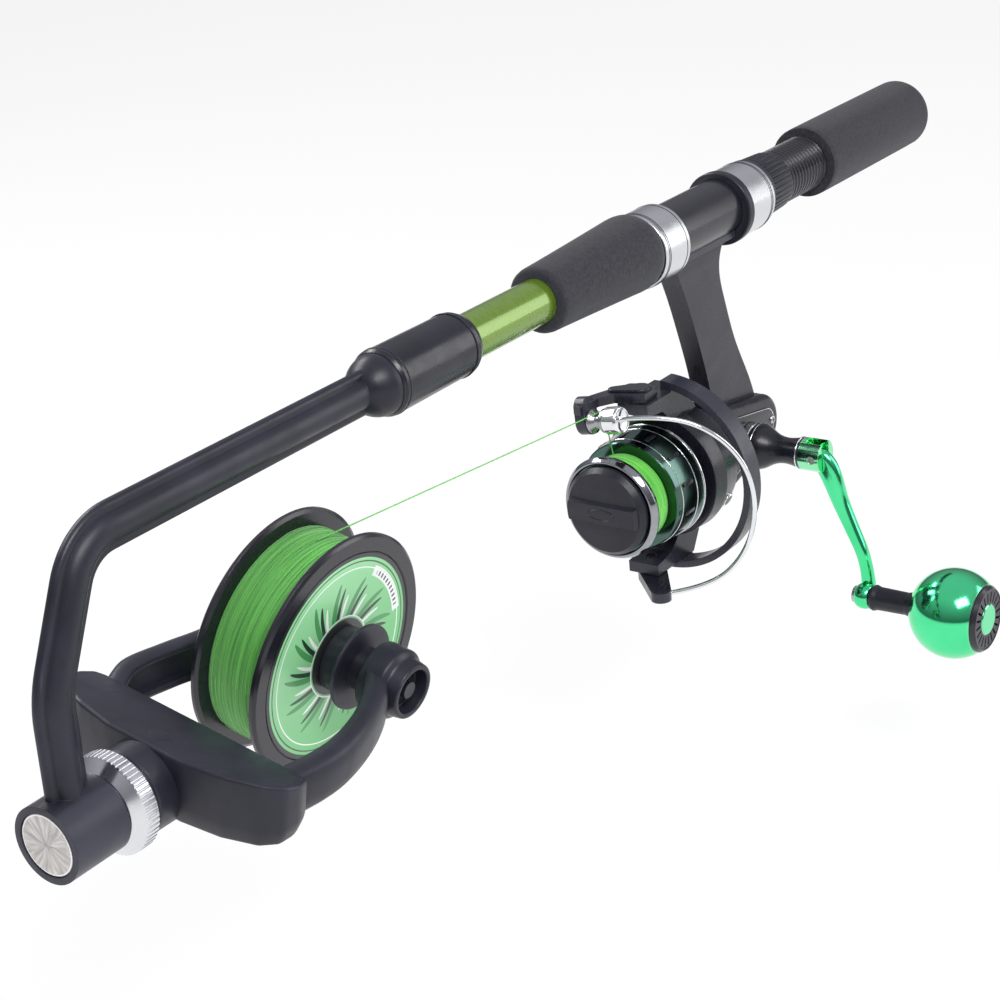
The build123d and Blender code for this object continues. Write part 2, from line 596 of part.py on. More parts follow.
# A guard clipped round the tail of the gearbox
with BuildPart() as tail_guard:
    on_y(gearbox_outline(-1.4), housing_near + 3.5, housing_far - 0.5)
    on_y(gearbox_outline(0), housing_near + 3.5, housing_far - 0.5, Mode.SUBTRACT)
    with BuildSketch(Plane.XZ) as guard_cut:
        with Locations((tail_lobe[0] - 60.0 - 1.0, reel_z)):
            Rectangle(120.0, 90.0)
    on_y(guard_cut.sketch, housing_near, housing_far + 1.0, Mode.SUBTRACT)
    with BuildSketch(Plane.XZ) as upper_cut:
        with Locations((tail_lobe[0], reel_z + 30.0)):
            Rectangle(60.0, 52.0)
    on_y(upper_cut.sketch, housing_near, housing_far + 1.0, Mode.SUBTRACT)
tail_guard.part.label = "tail_guard"
export_step(tail_guard.part, "parts/tail_guard.step")

with BuildPart() as pinion_bearing:
    ring(reel_axis, housing_front + 0.6, housing_front + 5.6, pinion_radius + running_fit, front_bearing_radius)
pinion_bearing.part.label = "pinion_bearing"
export_step(pinion_bearing.part, "parts/pinion_bearing.step")

with BuildPart() as crank_bearings:
    bearing_bore = drive_shaft_radius + running_fit
    ring(crank_axis, housing_near - 0.8, housing_near + housing_wall, bearing_bore, crank_bearing_radius)
    ring(crank_axis, housing_far + 0.1, housing_far + 2.2, bearing_bore, crank_bearing_radius)
crank_bearings.part.label = "crank_bearings"
export_step(crank_bearings.part, "parts/crank_bearings.step")

collar_y = housing_near - 1.0
with BuildPart() as crank_collar:
    turn(crank_axis, [(collar_y - 2.8, drive_shaft_radius + 0.5), (collar_y, drive_shaft_radius + 0.5),
                      (collar_y, 9.6), (collar_y - 2.2, 9.6), (collar_y - 2.8, 9.0)])
crank_collar.part.label = "crank_collar"
export_step(crank_collar.part, "parts/crank_collar.step")

# ---------------------------------------------------------------- crank
stem_start = collar_y - 2.8 - free_gap
stem_end = stem_start - stem_length
with BuildPart() as crank_stem:
    with BuildSketch(crank_axis) as stem_outline:
        with BuildLine():
            Line((stem_start, 0), (stem_start, 9.8))
            Spline((stem_start, 9.8), (stem_start - 3.5, 9.6), (stem_start - 9.0, 6.8), (stem_start - 15.0, 5.6),
                   (stem_start - 19.5, 6.2), (stem_end, 7.0))
            Line((stem_end, 7.0), (stem_end, 0))
            Line((stem_end, 0), (stem_start, 0))
        make_face()
    revolve(stem_outline.sketch, axis=Axis(crank_axis.origin, crank_axis.x_dir))
    ring(crank_axis, stem_end, stem_start, 0, drive_shaft_radius, Mode.SUBTRACT)
crank_stem.part.label = "crank_stem"
export_step(crank_stem.part, "parts/crank_stem.step")

# Face gear on the crank's shaft; it passes below the main shaft
gear_radius = 9.0
gear_face = 5.0
with BuildPart() as drive_gear:
    ring(crank_axis, stem_end + 0.5, housing_far + 2.0, 0, drive_shaft_radius)
    ring(crank_axis, gear_face, gear_face + 1.7, 0, gear_radius)
    with BuildSketch(Plane(origin=(crank_x, gear_face, crank_z), x_dir=(1, 0, 0), z_dir=(0, -1, 0))) as gear_teeth:
        with PolarLocations(gear_radius - 1.0, 36):
            Rectangle(2.0, 0.9)
    extrude(gear_teeth.sketch, amount=0.5)
drive_gear.part.label = "drive_gear"
export_step(drive_gear.part, "parts/drive_gear.step")

fork_radius = 7.0
tongue_half = 2.9
pin_radius = 1.6
with BuildPart() as crank_fork:
    ring(crank_axis, fold_y - 3.4, stem_end, 0, fork_radius)
    slot_centre = (crank_x, (fold_y - 8 + stem_end - 2.4) / 2, crank_z)
    with BuildSketch(Plane(origin=slot_centre, x_dir=(1, 0, 0), z_dir=(0, 0, 1))) as slot:
        Rectangle(2 * (tongue_half + free_gap), stem_end - 2.4 - fold_y + 8)
    extrude(slot.sketch, amount=20, both=True, mode=Mode.SUBTRACT)
    pin_axis = Plane(origin=(crank_x, fold_y, crank_z), x_dir=(1, 0, 0), z_dir=(0, 1, 0))
    ring(pin_axis, -10, 10, 0, pin_radius, Mode.SUBTRACT)
crank_fork.part.label = "crank_fork"
export_step(crank_fork.part, "parts/crank_fork.step")

fold_axis = Plane(origin=(crank_x, fold_y, crank_z), x_dir=(1, 0, 0), z_dir=(0, 1, 0))
with BuildPart() as fold_pin:
    ring(fold_axis, -6.6, 6.6, 0, pin_radius)
fold_pin.part.label = "fold_pin"
export_step(fold_pin.part, "parts/fold_pin.step")

# Crank arm: an outline in the YZ plane, thick enough for the fork's slot, with an eye for the knob's spindle
eye_y = (arm_y + 3.5, arm_y - 3.5)
tip_z = crank_z - crank_arm_length
with BuildPart() as crank_arm:
    with BuildSketch(Plane(origin=(crank_x, 0, 0), x_dir=(0, 1, 0), z_dir=(1, 0, 0))) as arm_side:
        with BuildLine():
            Polyline((fold_y + 3.6, crank_z - 1.0), (fold_y + 2.4, crank_z - 7.5), (fold_y - 6.5, crank_z - 22.0),
                     (arm_y + 6.0, crank_z - 40.0), (arm_y + 3.5, tip_z + 8.0), (arm_y + 3.0, tip_z - 4.0),
                     (arm_y - 3.0, tip_z - 4.0), (arm_y - 2.0, tip_z + 10.0), (arm_y + 0.5, crank_z - 42.0),
                     (fold_y - 13.0, crank_z - 20.0), (fold_y - 8.0, crank_z - 5.0), (fold_y - 7.0, crank_z + 1.5),
                     (fold_y - 4.0, crank_z + 3.6), (fold_y + 1.5, crank_z + 3.4), close=True)
        make_face()
    extrude(arm_side.sketch, amount=tongue_half, both=True)
    ring(knob_axis, eye_y[1], eye_y[0], 0, 5.4)
    ring(knob_axis, eye_y[1], eye_y[0], 0, spindle_radius, Mode.SUBTRACT)
    ring(fold_axis, -5, 5, 0, pin_radius + running_fit, Mode.SUBTRACT)
crank_arm.part.label = "crank_arm"
export_step(crank_arm.part, "parts/crank_arm.step")

neck_start = eye_y[1] - free_gap
cap_y = ball_y - 12.6
with BuildPart() as knob_spindle:
    turn(knob_axis, [(eye_y[0] + 1.2, 0), (eye_y[0] + 1.2, 3.6), (eye_y[0], 3.6), (eye_y[0], spindle_radius),
                     (cap_y + 3.0, spindle_radius), (cap_y + 3.0, 0)])
knob_spindle.part.label = "knob_spindle"
export_step(knob_spindle.part, "parts/knob_spindle.step")

neck_end = ball_y + 17.2
with BuildPart() as knob_neck:
    turn(knob_axis, [(neck_start, 0), (neck_start, 5.2), (neck_start - 1.2, 5.6), (neck_start - 3.0, 5.0),
                     (neck_end + 4.0, 4.8), (neck_end, 6.0), (neck_end, 0)])
    ring(knob_axis, neck_end, neck_start, 0, spindle_radius + running_fit, Mode.SUBTRACT)
knob_neck.part.label = "knob_neck"
export_step(knob_neck.part, "parts/knob_neck.step")

with BuildPart() as knob_ball:
    with BuildSketch(knob_axis) as ball_outline:
        with BuildLine():
            start_r = math.sqrt(ball_radius ** 2 - (ball_y - neck_end) ** 2)
            end_r = math.sqrt(ball_radius ** 2 - (ball_y - cap_y) ** 2)
            Line((neck_end, spindle_radius + running_fit), (neck_end, start_r))
            ThreePointArc((neck_end, start_r), (ball_y, ball_radius), (cap_y, end_r))
            Line((cap_y, end_r), (cap_y, spindle_radius + running_fit))
            Line((cap_y, spindle_radius + running_fit), (neck_end, spindle_radius + running_fit))
        make_face()
    revolve(ball_outline.sketch, axis=Axis(knob_axis.origin, knob_axis.x_dir))
knob_ball.part.label = "knob_ball"
export_step(knob_ball.part, "parts/knob_ball.step")

ring_outer = end_r - 0.2
vent_radius = ring_outer - 1.6
with BuildPart() as knob_ring:
    turn(knob_axis, [(cap_y, vent_radius), (cap_y - 2.4, vent_radius), (cap_y - 2.4, ring_outer - 1.1),
                     (cap_y - 1.0, ring_outer), (cap_y, ring_outer)])
knob_ring.part.label = "knob_ring"
export_step(knob_ring.part, "parts/knob_ring.step")

badge_radius = 6.6
with BuildPart() as vent_cap:
    ring(knob_axis, cap_y - 2.2, cap_y, 0, vent_radius)
    ring(knob_axis, cap_y - 2.2, cap_y - 1.2, 0, badge_radius, Mode.SUBTRACT)
    slot_middle = (badge_radius + vent_radius) / 2
    vent_face = Plane(origin=(knob_axis.origin.X, cap_y - 2.2, tip_z), x_dir=(1, 0, 0), z_dir=(0, 1, 0))
    with BuildSketch(vent_face) as vents:
        with PolarLocations(slot_middle, vent_slots):
            SlotOverall(vent_radius - badge_radius - 1.6, 0.9)
    extrude(vents.sketch, amount=1.4, mode=Mode.SUBTRACT)
vent_cap.part.label = "vent_cap"
export_step(vent_cap.part, "parts/vent_cap.step")

with BuildPart() as knob_badge:
    turn(knob_axis, [(cap_y - 1.2, 0), (cap_y - 1.2, badge_radius), (cap_y - 2.2, badge_radius),
                     (cap_y - 2.6, badge_radius - 0.5), (cap_y - 2.6, 0)])
knob_badge.part.label = "knob_badge"
export_step(knob_badge.part, "parts/knob_badge.step")

# ---------------------------------------------------------------- rotor
rotor_front = -196.0
rotor_shell_front = -181.0
rotor_back = housing_front - 3.0
cup_radius = skirt_radius - skirt_wall - 1.0
arm_inner = 24.5
arm_outer = 37.2
arm_half_width = 7.0
with BuildPart() as rotor:
    turn(reel_axis, [(rotor_front, pinion_radius), (rotor_back - 1.0, pinion_radius), (rotor_back - 1.0, 8.0),
                     (rotor_shell_front + 2.4, 8.0), (rotor_shell_front + 2.4, rotor_base_radius - 2.0),
                     (rotor_back, rotor_base_radius - 4.2), (rotor_back, rotor_base_radius - 2.2),
                     (rotor_shell_front + 8.0, rotor_base_radius), (rotor_shell_front, rotor_base_radius - 0.6),
                     (rotor_shell_front, cup_radius), (rotor_front, cup_radius), (rotor_front, cup_radius - 1.4),
                     (rotor_shell_front + 0.6, cup_radius - 1.4), (rotor_shell_front + 0.6, 8.0),
                     (rotor_front, 8.0)])
    for up in (-1, 1):
        with BuildSketch(Plane.XZ) as arm_side_view:
            with BuildLine():
                Polyline((rotor_back - 1.0, reel_z + up * arm_inner),
                         (rotor_shell_front + 0.5, reel_z + up * arm_inner),
                         (-187.0, reel_z + up * 31.0), (-198.5, reel_z + up * 32.5), (-198.5, reel_z + up * arm_outer),
                         (-170.0, reel_z + up * arm_outer), close=True)
            make_face()
        on_y(arm_side_view.sketch, -arm_half_width, arm_half_width)
    # The band joins the two arms round the near side only, clear of the roller's arc when the bail opens
    with BuildSketch(across(-180.0, z=reel_z)) as band_section:
        Circle(band_radius)
        Circle(band_radius - band_thickness, mode=Mode.SUBTRACT)
        with Locations((-band_radius - 2.0, 0)):
            Rectangle(2 * band_radius, 4 * band_radius, mode=Mode.INTERSECT)
    extrude(band_section.sketch, amount=band_width)
    for up in (-1, 1):
        root_level = reel_z + up * (arm_outer - 2.0)
        with BuildSketch(Plane(origin=(-180.0, 0, root_level), x_dir=(1, 0, 0), z_dir=(0, 0, up))) as band_root:
            with Locations((band_width / 2, -4.5 * up)):
                Rectangle(band_width, 5.0)
        extrude(band_root.sketch, amount=band_radius - arm_outer + 1.4)
    for up in (-1, 1):
        pivot_hole = Plane(origin=(bail_pivot_x, 0, reel_z), x_dir=(0, 0, up), z_dir=(0, 1, 0))
        ring(pivot_hole, 30.0, 39.0, 0, bail_pivot_radius + running_fit, Mode.SUBTRACT)
rotor.part.label = "rotor"
export_step(rotor.part, "parts/rotor.step")

pinion_end = crank_x - 6.5
with BuildPart() as pinion_gear:
    turn(reel_axis, [(-199.5, shaft_radius + running_fit), (pinion_end, shaft_radius + running_fit),
                     (pinion_end, 4.3), (-150.0, 4.3), (-150.0, pinion_radius), (-199.5, pinion_radius)])
pinion_gear.part.label = "pinion_gear"
export_step(pinion_gear.part, "parts/pinion_gear.step")

with BuildPart() as rotor_nut:
    with BuildSketch(across(rotor_front - 2.8, z=reel_z)) as nut_flats:
        RegularPolygon(5.6, 6)
        Circle(pinion_radius, mode=Mode.SUBTRACT)
    extrude(nut_flats.sketch, amount=2.8)
rotor_nut.part.label = "rotor_nut"
export_step(rotor_nut.part, "parts/rotor_nut.step")

# ---------------------------------------------------------------- bail
roller_z = reel_z + roller_height
roller_lean = math.atan2(roller_y, roller_height)
roller_spot = Vector(roller_x, roller_y, roller_z)
roller_along = Vector(0, math.cos(roller_lean), -math.sin(roller_lean))
roller_axis = Plane(origin=roller_spot, x_dir=roller_along, z_dir=(1, 0, 0))
roller_pin_radius = 1.5
roller_half = 3.6
cheek_start = roller_half + free_gap
cheek_end = cheek_start + 4.6
bail_level = arm_outer + free_gap
bail_plate = 3.8
with BuildPart() as bail_arm:
    # A plate over the rotor's arm, bent forward to the roller's cheek
    with BuildSketch(Plane(origin=(0, 0, reel_z + bail_level), x_dir=(1, 0, 0), z_dir=(0, 0, 1))) as plate:
        with BuildLine():
            Polyline((-186.5, -4.5), (-185.0, 3.0), (-187.0, 8.0), (-198.0, 12.8), (-205.0, 15.4),
                     (roller_x - 4.5, 15.4), (roller_x - 5.5, 11.4), (-206.5, 10.8), (-200.5, 7.0),
                     (-198.5, 0.0), (-196.5, -5.0), close=True)
        make_face()
    extrude(plate.sketch, amount=bail_plate)
    cheek_face = Plane(origin=roller_spot + roller_along * cheek_start, x_dir=(1, 0, 0), z_dir=roller_along)
    with BuildSketch(cheek_face) as cheek:
        Circle(5.3)
        with Locations((0, -6.2)):
            Circle(4.2)
        make_hull()
    extrude(cheek.sketch, amount=cheek_end - cheek_start)
    ring(roller_axis, cheek_start - 1, cheek_end + 1, 0, roller_pin_radius, Mode.SUBTRACT)
    bail_pivot_top = Plane(origin=(bail_pivot_x, 0, reel_z), x_dir=(0, 0, 1), z_dir=(0, 1, 0))
    ring(bail_pivot_top, 32.0, bail_level + 0.5, 0, bail_pivot_radius)
bail_arm.part.label = "bail_arm"
export_step(bail_arm.part, "parts/bail_arm.step")

with BuildPart() as bail_cover:
    cover_level = reel_z + bail_level + bail_plate
    with BuildSketch(Plane(origin=(0, 0, cover_level), x_dir=(1, 0, 0), z_dir=(0, 0, 1))) as cover_outline:
        with Locations((bail_pivot_x + 0.4, 0.2)):
            Circle(4.6)
        with Locations((-197.0, 9.0)):
            Circle(2.6)
        make_hull()
    extrude(cover_outline.sketch, amount=1.3)
    fillet(bail_cover.faces().sort_by(Axis.Z)[-1].edges(), 0.6)
bail_cover.part.label = "bail_cover"
export_step(bail_cover.part, "parts/bail_cover.step")

# The pin that carries the roller, with the polished dome that leads the line to it
dome_face = -roller_half - free_gap
dome_end = dome_face - 6.8
with BuildPart() as guide_dome:
    with BuildSketch(roller_axis) as dome_side:
        with BuildLine():
            Line((cheek_end + 0.1, 0), (cheek_end + 0.1, roller_pin_radius))
            Line((cheek_end + 0.1, roller_pin_radius), (dome_face, roller_pin_radius))
            Line((dome_face, roller_pin_radius), (dome_face, 5.2))
            Line((dome_face, 5.2), (dome_face - 3.0, 5.6))
            Spline((dome_face - 3.0, 5.6), (dome_end, 0), tangents=[(-1, 0), (0, -1)])
            Line((dome_end, 0), (cheek_end + 0.1, 0))
        make_face()
    revolve(dome_side.sketch, axis=Axis(roller_axis.origin, roller_axis.x_dir))
    wire_root = roller_spot + roller_along * (dome_end + 2.4)
guide_dome.part.label = "guide_dome"
export_step(guide_dome.part, "parts/guide_dome.step")

holder_spot = (-209.0, -14.5)
holder_plate_depth = 4.2
wire_tip = (holder_spot[0] + 1.4, holder_spot[1] - 0.8, reel_z - bail_level - holder_plate_depth / 2)
with BuildPart() as bail_wire:
    with BuildLine() as wire_path:
        FilletPolyline(wire_root, (-209.0, -9.5, reel_z + 37.0), (-198.0, -29.0, reel_z + 34.0),
                       (-188.0, -43.5, reel_z + 18.0), (-185.5, -48.0, reel_z - 4.0), (-188.0, -43.0, reel_z - 25.0),
                       (-197.0, -31.0, reel_z - 38.0), wire_tip, radius=[4.0, 16.0, 22.0, 24.0, 20.0, 9.0])
    wire_start = Plane(origin=wire_path.wire().position_at(0), z_dir=wire_path.wire().tangent_at(0))
    with BuildSketch(wire_start) as wire_section:
        Circle(bail_wire_radius)
    sweep(wire_section.sketch, path=wire_path.wire())
    add(guide_dome.part, mode=Mode.SUBTRACT)
bail_wire.part.label = "bail_wire"
export_step(bail_wire.part, "parts/bail_wire.step")

with BuildPart() as bail_holder:
    with BuildSketch(Plane(origin=(0, 0, reel_z - bail_level), x_dir=(1, 0, 0), z_dir=(0, 0, 1))) as holder_plate:
        with Locations((bail_pivot_x, 0)):
            Circle(6.0)
        with Locations(holder_spot):
            Circle(4.2)
        make_hull()
    extrude(holder_plate.sketch, amount=-holder_plate_depth)
    bail_pivot_low = Plane(origin=(bail_pivot_x, 0, reel_z), x_dir=(0, 0, -1), z_dir=(0, 1, 0))
    ring(bail_pivot_low, 32.0, bail_level + 0.5, 0, bail_pivot_radius)
    add(bail_wire.part, mode=Mode.SUBTRACT)
bail_holder.part.label = "bail_holder"
export_step(bail_holder.part, "parts/bail_holder.step")

with BuildPart() as line_roller:
    bore = roller_pin_radius + running_fit
    turn(roller_axis, [(-roller_half, bore), (roller_half, bore), (roller_half, 5.0), (roller_half - 0.8, 5.0),
                       (0.9, roller_groove_radius), (-0.9, roller_groove_radius), (-roller_half + 1.2, 4.9),
                       (-roller_half, 5.0)])
line_roller.part.label = "line_roller"
export_step(line_roller.part, "parts/line_roller.step")

# ---------------------------------------------------------------- shaft, reel spool and drag knob
slider_front = -112.5
with BuildPart() as main_shaft:
    ring(reel_axis, lip_x - 3.0, slider_front + 4.0, 0, shaft_radius)
main_shaft.part.label = "main_shaft"
export_step(main_shaft.part, "parts/main_shaft.step")

with BuildPart() as spool_slider:
    with BuildSketch(across(slider_front, z=reel_z)) as slider_block:
        RectangleRounded(8.0, 9.0, 1.2)
        Circle(shaft_radius, mode=Mode.SUBTRACT)
    extrude(slider_block.sketch, amount=5.0)
spool_slider.part.label = "spool_slider"
export_step(spool_slider.part, "parts/spool_slider.step")

fill_front = lip_x + lip_length + 0.4
fill_rear = fill_front + reel_fill_length
skirt_front = fill_rear
skirt_rear = skirt_front + 2.0 + skirt_length
spool_hub_radius = 12.0
spool_bore = shaft_radius + running_fit
drag_seat = lip_x + 1.4
with BuildPart() as reel_spool:
    turn(reel_axis, [(drag_seat, spool_bore), (skirt_front + 1.0, spool_bore), (skirt_front + 1.0, spool_hub_radius - 2),
                     (skirt_front + 2.0, spool_hub_radius - 2), (skirt_front + 2.0, skirt_radius - skirt_wall),
                     (skirt_rear, skirt_end_radius - skirt_wall), (skirt_rear, skirt_end_radius),
                     (skirt_front + 0.5, skirt_radius), (skirt_front, skirt_radius - 0.5), (skirt_front, spool_hub_radius),
                     (fill_front, spool_hub_radius), (fill_front, lip_radius - 1.3), (drag_seat, lip_radius - 1.3)])
reel_spool.part.label = "reel_spool"
export_step(reel_spool.part, "parts/reel_spool.step")

with BuildPart() as spool_lip:
    with BuildSketch(reel_axis) as lip_side:
        with BuildLine():
            Line((lip_x + 0.3, lip_radius - 1.3), (lip_x + lip_length, lip_radius - 1.3))
            Line((lip_x + lip_length, lip_radius - 1.3), (lip_x + lip_length, lip_radius - 0.6))
            ThreePointArc((lip_x + lip_length, lip_radius - 0.6), (lip_x + 2.4, lip_radius),
                          (lip_x + 0.3, lip_radius - 1.3))
        make_face()
    revolve(lip_side.sketch, axis=Axis(reel_axis.origin, reel_axis.x_dir))
spool_lip.part.label = "spool_lip"
export_step(spool_lip.part, "parts/spool_lip.step")

with BuildPart() as reel_winding:
    ring(reel_axis, fill_front, fill_rear, spool_hub_radius, reel_fill_radius)
reel_winding.part.label = "reel_winding"
export_step(reel_winding.part, "parts/reel_winding.step")

knob_seat = drag_seat - free_gap
with BuildPart() as drag_knob:
    turn(reel_axis, [(knob_seat, shaft_radius + running_fit), (knob_seat, drag_knob_radius - 0.4),
                     (knob_seat - 1.0, drag_knob_radius), (lip_x - 1.2, drag_knob_radius),
                     (lip_x - 3.4, drag_knob_radius - 1.8), (lip_x - 4.0, 10.0), (lip_x - 4.2, 0),
                     (lip_x - 3.2, 0), (lip_x - 3.2, shaft_radius + running_fit)])
    with BuildSketch(across(lip_x - 3.4, z=reel_z)) as grip_bar:
        Rectangle(2 * drag_knob_radius, 9.0)
        Circle(drag_knob_radius - 2.2, mode=Mode.INTERSECT)
    extrude(grip_bar.sketch, amount=-2.6, taper=14)
drag_knob.part.label = "drag_knob"
export_step(drag_knob.part, "parts/drag_knob.step")

# ---------------------------------------------------------------- the line between the two spools
# The line leaves the supply winding at mid-width, goes over the roller's groove and down square to the reel's winding.
line_leaves = supply_width / 2
supply_lift = supply_fill_radius + line_radius + line_gap
reel_lift = reel_fill_radius + line_radius + line_gap
bend_radius = roller_groove_radius + line_radius + line_gap
inward = Vector(0, -roller_y, -roller_height).normalized()
aim = supply_axis.to_local_coords(roller_spot - inward * bend_radius)
leave_angle = math.atan2(aim.Z, aim.Y) - math.acos(supply_lift / math.hypot(aim.Y, aim.Z))
line_start = supply_axis.from_local_coords((line_leaves, supply_lift * math.cos(leave_angle),
                                            supply_lift * math.sin(leave_angle)))
to_roller = roller_spot - line_start
forward = (to_roller - inward * to_roller.dot(inward)).normalized()
start_along = -to_roller.dot(forward)
start_out = to_roller.dot(inward)
approach = math.atan2(-start_out, -start_along) + math.asin(bend_radius / math.hypot(start_along, start_out))
corner_out = start_out + math.tan(approach) * (bend_radius - start_along)
roller_corner = roller_spot + forward * bend_radius - inward * corner_out
line_end = roller_spot + forward * bend_radius + inward * (math.hypot(roller_y, roller_height) - reel_lift)
with BuildPart() as fishing_line:
    with BuildLine() as line_path:
        FilletPolyline(line_start, roller_corner, line_end, radius=bend_radius)
    first_point = Plane(origin=line_path.wire().position_at(0), z_dir=line_path.wire().tangent_at(0))
    with BuildSketch(first_point) as line_section:
        Circle(line_radius)
    sweep(line_section.sketch, path=line_path.wire())
fishing_line.part.label = "fishing_line"
export_step(fishing_line.part, "parts/fishing_line.step")
print("line route:", [tuple(round(v, 2) for v in tuple(p)) for p in (line_start, roller_corner, line_end)],
      "bend radius", round(bend_radius, 2), "length", round(line_path.wire().length, 1))
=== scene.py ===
"""The fishing line winder's looks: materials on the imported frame, foam grips, wound line, labels and trim.

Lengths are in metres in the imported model's frame: +X along the handle to its butt, +Z up, origin on the handle's
axis at the middle of the rear grip. MM turns a size in millimetres into metres.
"""
import math
import random

import bmesh
import bpy
from mathutils import Matrix, Vector


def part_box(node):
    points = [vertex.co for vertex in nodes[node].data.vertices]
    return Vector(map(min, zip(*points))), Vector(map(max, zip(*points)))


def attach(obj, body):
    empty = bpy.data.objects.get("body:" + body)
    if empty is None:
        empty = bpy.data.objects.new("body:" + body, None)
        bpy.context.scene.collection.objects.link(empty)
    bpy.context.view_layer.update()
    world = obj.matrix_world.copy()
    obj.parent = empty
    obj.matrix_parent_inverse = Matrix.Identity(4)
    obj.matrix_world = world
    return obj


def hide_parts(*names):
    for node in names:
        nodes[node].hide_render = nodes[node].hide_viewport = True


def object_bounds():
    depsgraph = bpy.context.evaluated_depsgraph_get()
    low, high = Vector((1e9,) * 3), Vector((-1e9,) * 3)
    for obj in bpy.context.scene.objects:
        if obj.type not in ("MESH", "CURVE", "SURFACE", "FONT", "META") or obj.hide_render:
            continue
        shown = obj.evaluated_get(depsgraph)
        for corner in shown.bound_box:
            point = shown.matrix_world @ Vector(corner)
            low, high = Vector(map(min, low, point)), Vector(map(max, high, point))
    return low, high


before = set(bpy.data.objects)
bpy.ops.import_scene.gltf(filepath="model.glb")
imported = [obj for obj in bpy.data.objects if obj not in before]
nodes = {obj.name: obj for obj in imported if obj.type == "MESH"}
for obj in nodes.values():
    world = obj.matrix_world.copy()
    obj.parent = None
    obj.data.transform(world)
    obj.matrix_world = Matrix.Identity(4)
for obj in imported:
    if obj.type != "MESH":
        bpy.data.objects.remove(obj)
cad_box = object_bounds()

MM = 0.001
LEAN = math.radians(12.15)          # the yoke's lean about X
SUPPLY_CENTRE = Vector((-391.0, 0, -86.1)) * MM
SUPPLY_AXIS = Vector((0, math.cos(LEAN), math.sin(LEAN)))
SUPPLY_UP = Vector((0, -math.sin(LEAN), math.cos(LEAN)))
YOKE_ORIGIN = Vector((0, 0, -86.1)) * MM
ROLLER_SPOT = Vector((-213.0, 6.0, -64.0)) * MM
ROLLER_LEAN = math.atan2(6.0, 34.5)
ROLLER_ALONG = Vector((0, math.cos(ROLLER_LEAN), -math.sin(ROLLER_LEAN)))
REEL_AXIS_POINT = Vector((0, 0, -98.5)) * MM
CRANK_AXIS_POINT = Vector((-125.0, 0, -103.8)) * MM
X_AXIS = Vector((1, 0, 0))
Y_AXIS = Vector((0, 1, 0))
Z_AXIS = Vector((0, 0, 1))


# ---------------------------------------------------------------- camera
def place_camera():
    """The photograph's camera, solved from the object's outlines."""
    right = Vector((0.57388, -0.81413, -0.08864))
    up = Vector((0.35731, 0.15152, 0.92161))
    back = Vector((-0.73688, -0.56057, 0.37785))
    spot = Vector((-914.4, -473.9, 252.7)) * MM
    data = bpy.data.cameras.new("camera")
    data.lens = 82.0
    data.sensor_width = 36.0
    data.sensor_fit = "HORIZONTAL"
    data.clip_start = 0.01
    camera = bpy.data.objects.new("camera", data)
    bpy.context.scene.collection.objects.link(camera)
    camera.matrix_world = Matrix(((right.x, up.x, back.x, spot.x), (right.y, up.y, back.y, spot.y),
                                  (right.z, up.z, back.z, spot.z), (0, 0, 0, 1)))
    bpy.context.scene.camera = camera


# ---------------------------------------------------------------- mesh helpers
def seat(piece, body):
    """Rides a piece on its body."""
    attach(piece, body)


def link(name, mesh, material):
    """A new object with that mesh and material."""
    thing = bpy.data.objects.new(name, mesh)
    bpy.context.scene.collection.objects.link(thing)
    thing.data.materials.append(material)
    return thing


def finish_mesh(name, bm, material, sharp=35.0):
    """A bmesh made into an object, smooth but for edges sharper than that many degrees."""
    bmesh.ops.remove_doubles(bm, verts=bm.verts, dist=1e-7)
    bmesh.ops.recalc_face_normals(bm, faces=bm.faces)
    mesh = bpy.data.meshes.new(name)
    bm.to_mesh(mesh)
    bm.free()
    mesh.polygons.foreach_set("use_smooth", [True] * len(mesh.polygons))
    mesh.set_sharp_from_angle(angle=math.radians(sharp))
    return link(name, mesh, material)


def frame_of(axis):
    """Two directions square to an axis and to each other."""
    side = axis.cross(Z_AXIS)
    if side.length < 0.1:
        side = axis.cross(X_AXIS)
    side.normalize()
    return side, axis.cross(side).normalized()


def lathe(name, profile, origin, axis, material, segments=128, sharp=35.0):
    """Turns a closed profile of (station, radius), in millimetres, about an axis."""
    side, up = frame_of(axis)
    bm = bmesh.new()
    rings = []
    for station, radius in profile:
        centre = origin + axis * station * MM
        if radius < 1e-6:
            rings.append([bm.verts.new(centre)] * segments)
            continue
        rings.append([bm.verts.new(centre + (side * math.cos(a) + up * math.sin(a)) * radius * MM)
                      for a in (math.tau * n / segments for n in range(segments))])
    for first, second in zip(rings, rings[1:] + rings[:1]):
        for n in range(segments):
            corners = [first[n], first[(n + 1) % segments], second[(n + 1) % segments], second[n]]
            unique = list(dict.fromkeys(corners))
            if len(unique) > 2:
                bm.faces.new(unique)
    return finish_mesh(name, bm, material, sharp)


def rounded(points, radius, steps=6):
    """A profile with its corners rounded, points being (station, radius)."""
    made = []
    count = len(points)
    for n in range(count):
        before, here, after = Vector(points[n - 1]), Vector(points[n]), Vector(points[(n + 1) % count])
        cut = min(radius, (before - here).length * 0.45, (after - here).length * 0.45)
        if here.y < 1e-6 or cut < 1e-4:
            made.append(tuple(here))
            continue
        a = here + (before - here).normalized() * cut
        b = here + (after - here).normalized() * cut
        for step in range(steps + 1):
            t = step / steps
            made.append(tuple(a * (1 - t) ** 2 + here * 2 * t * (1 - t) + b * t * t))
    return made


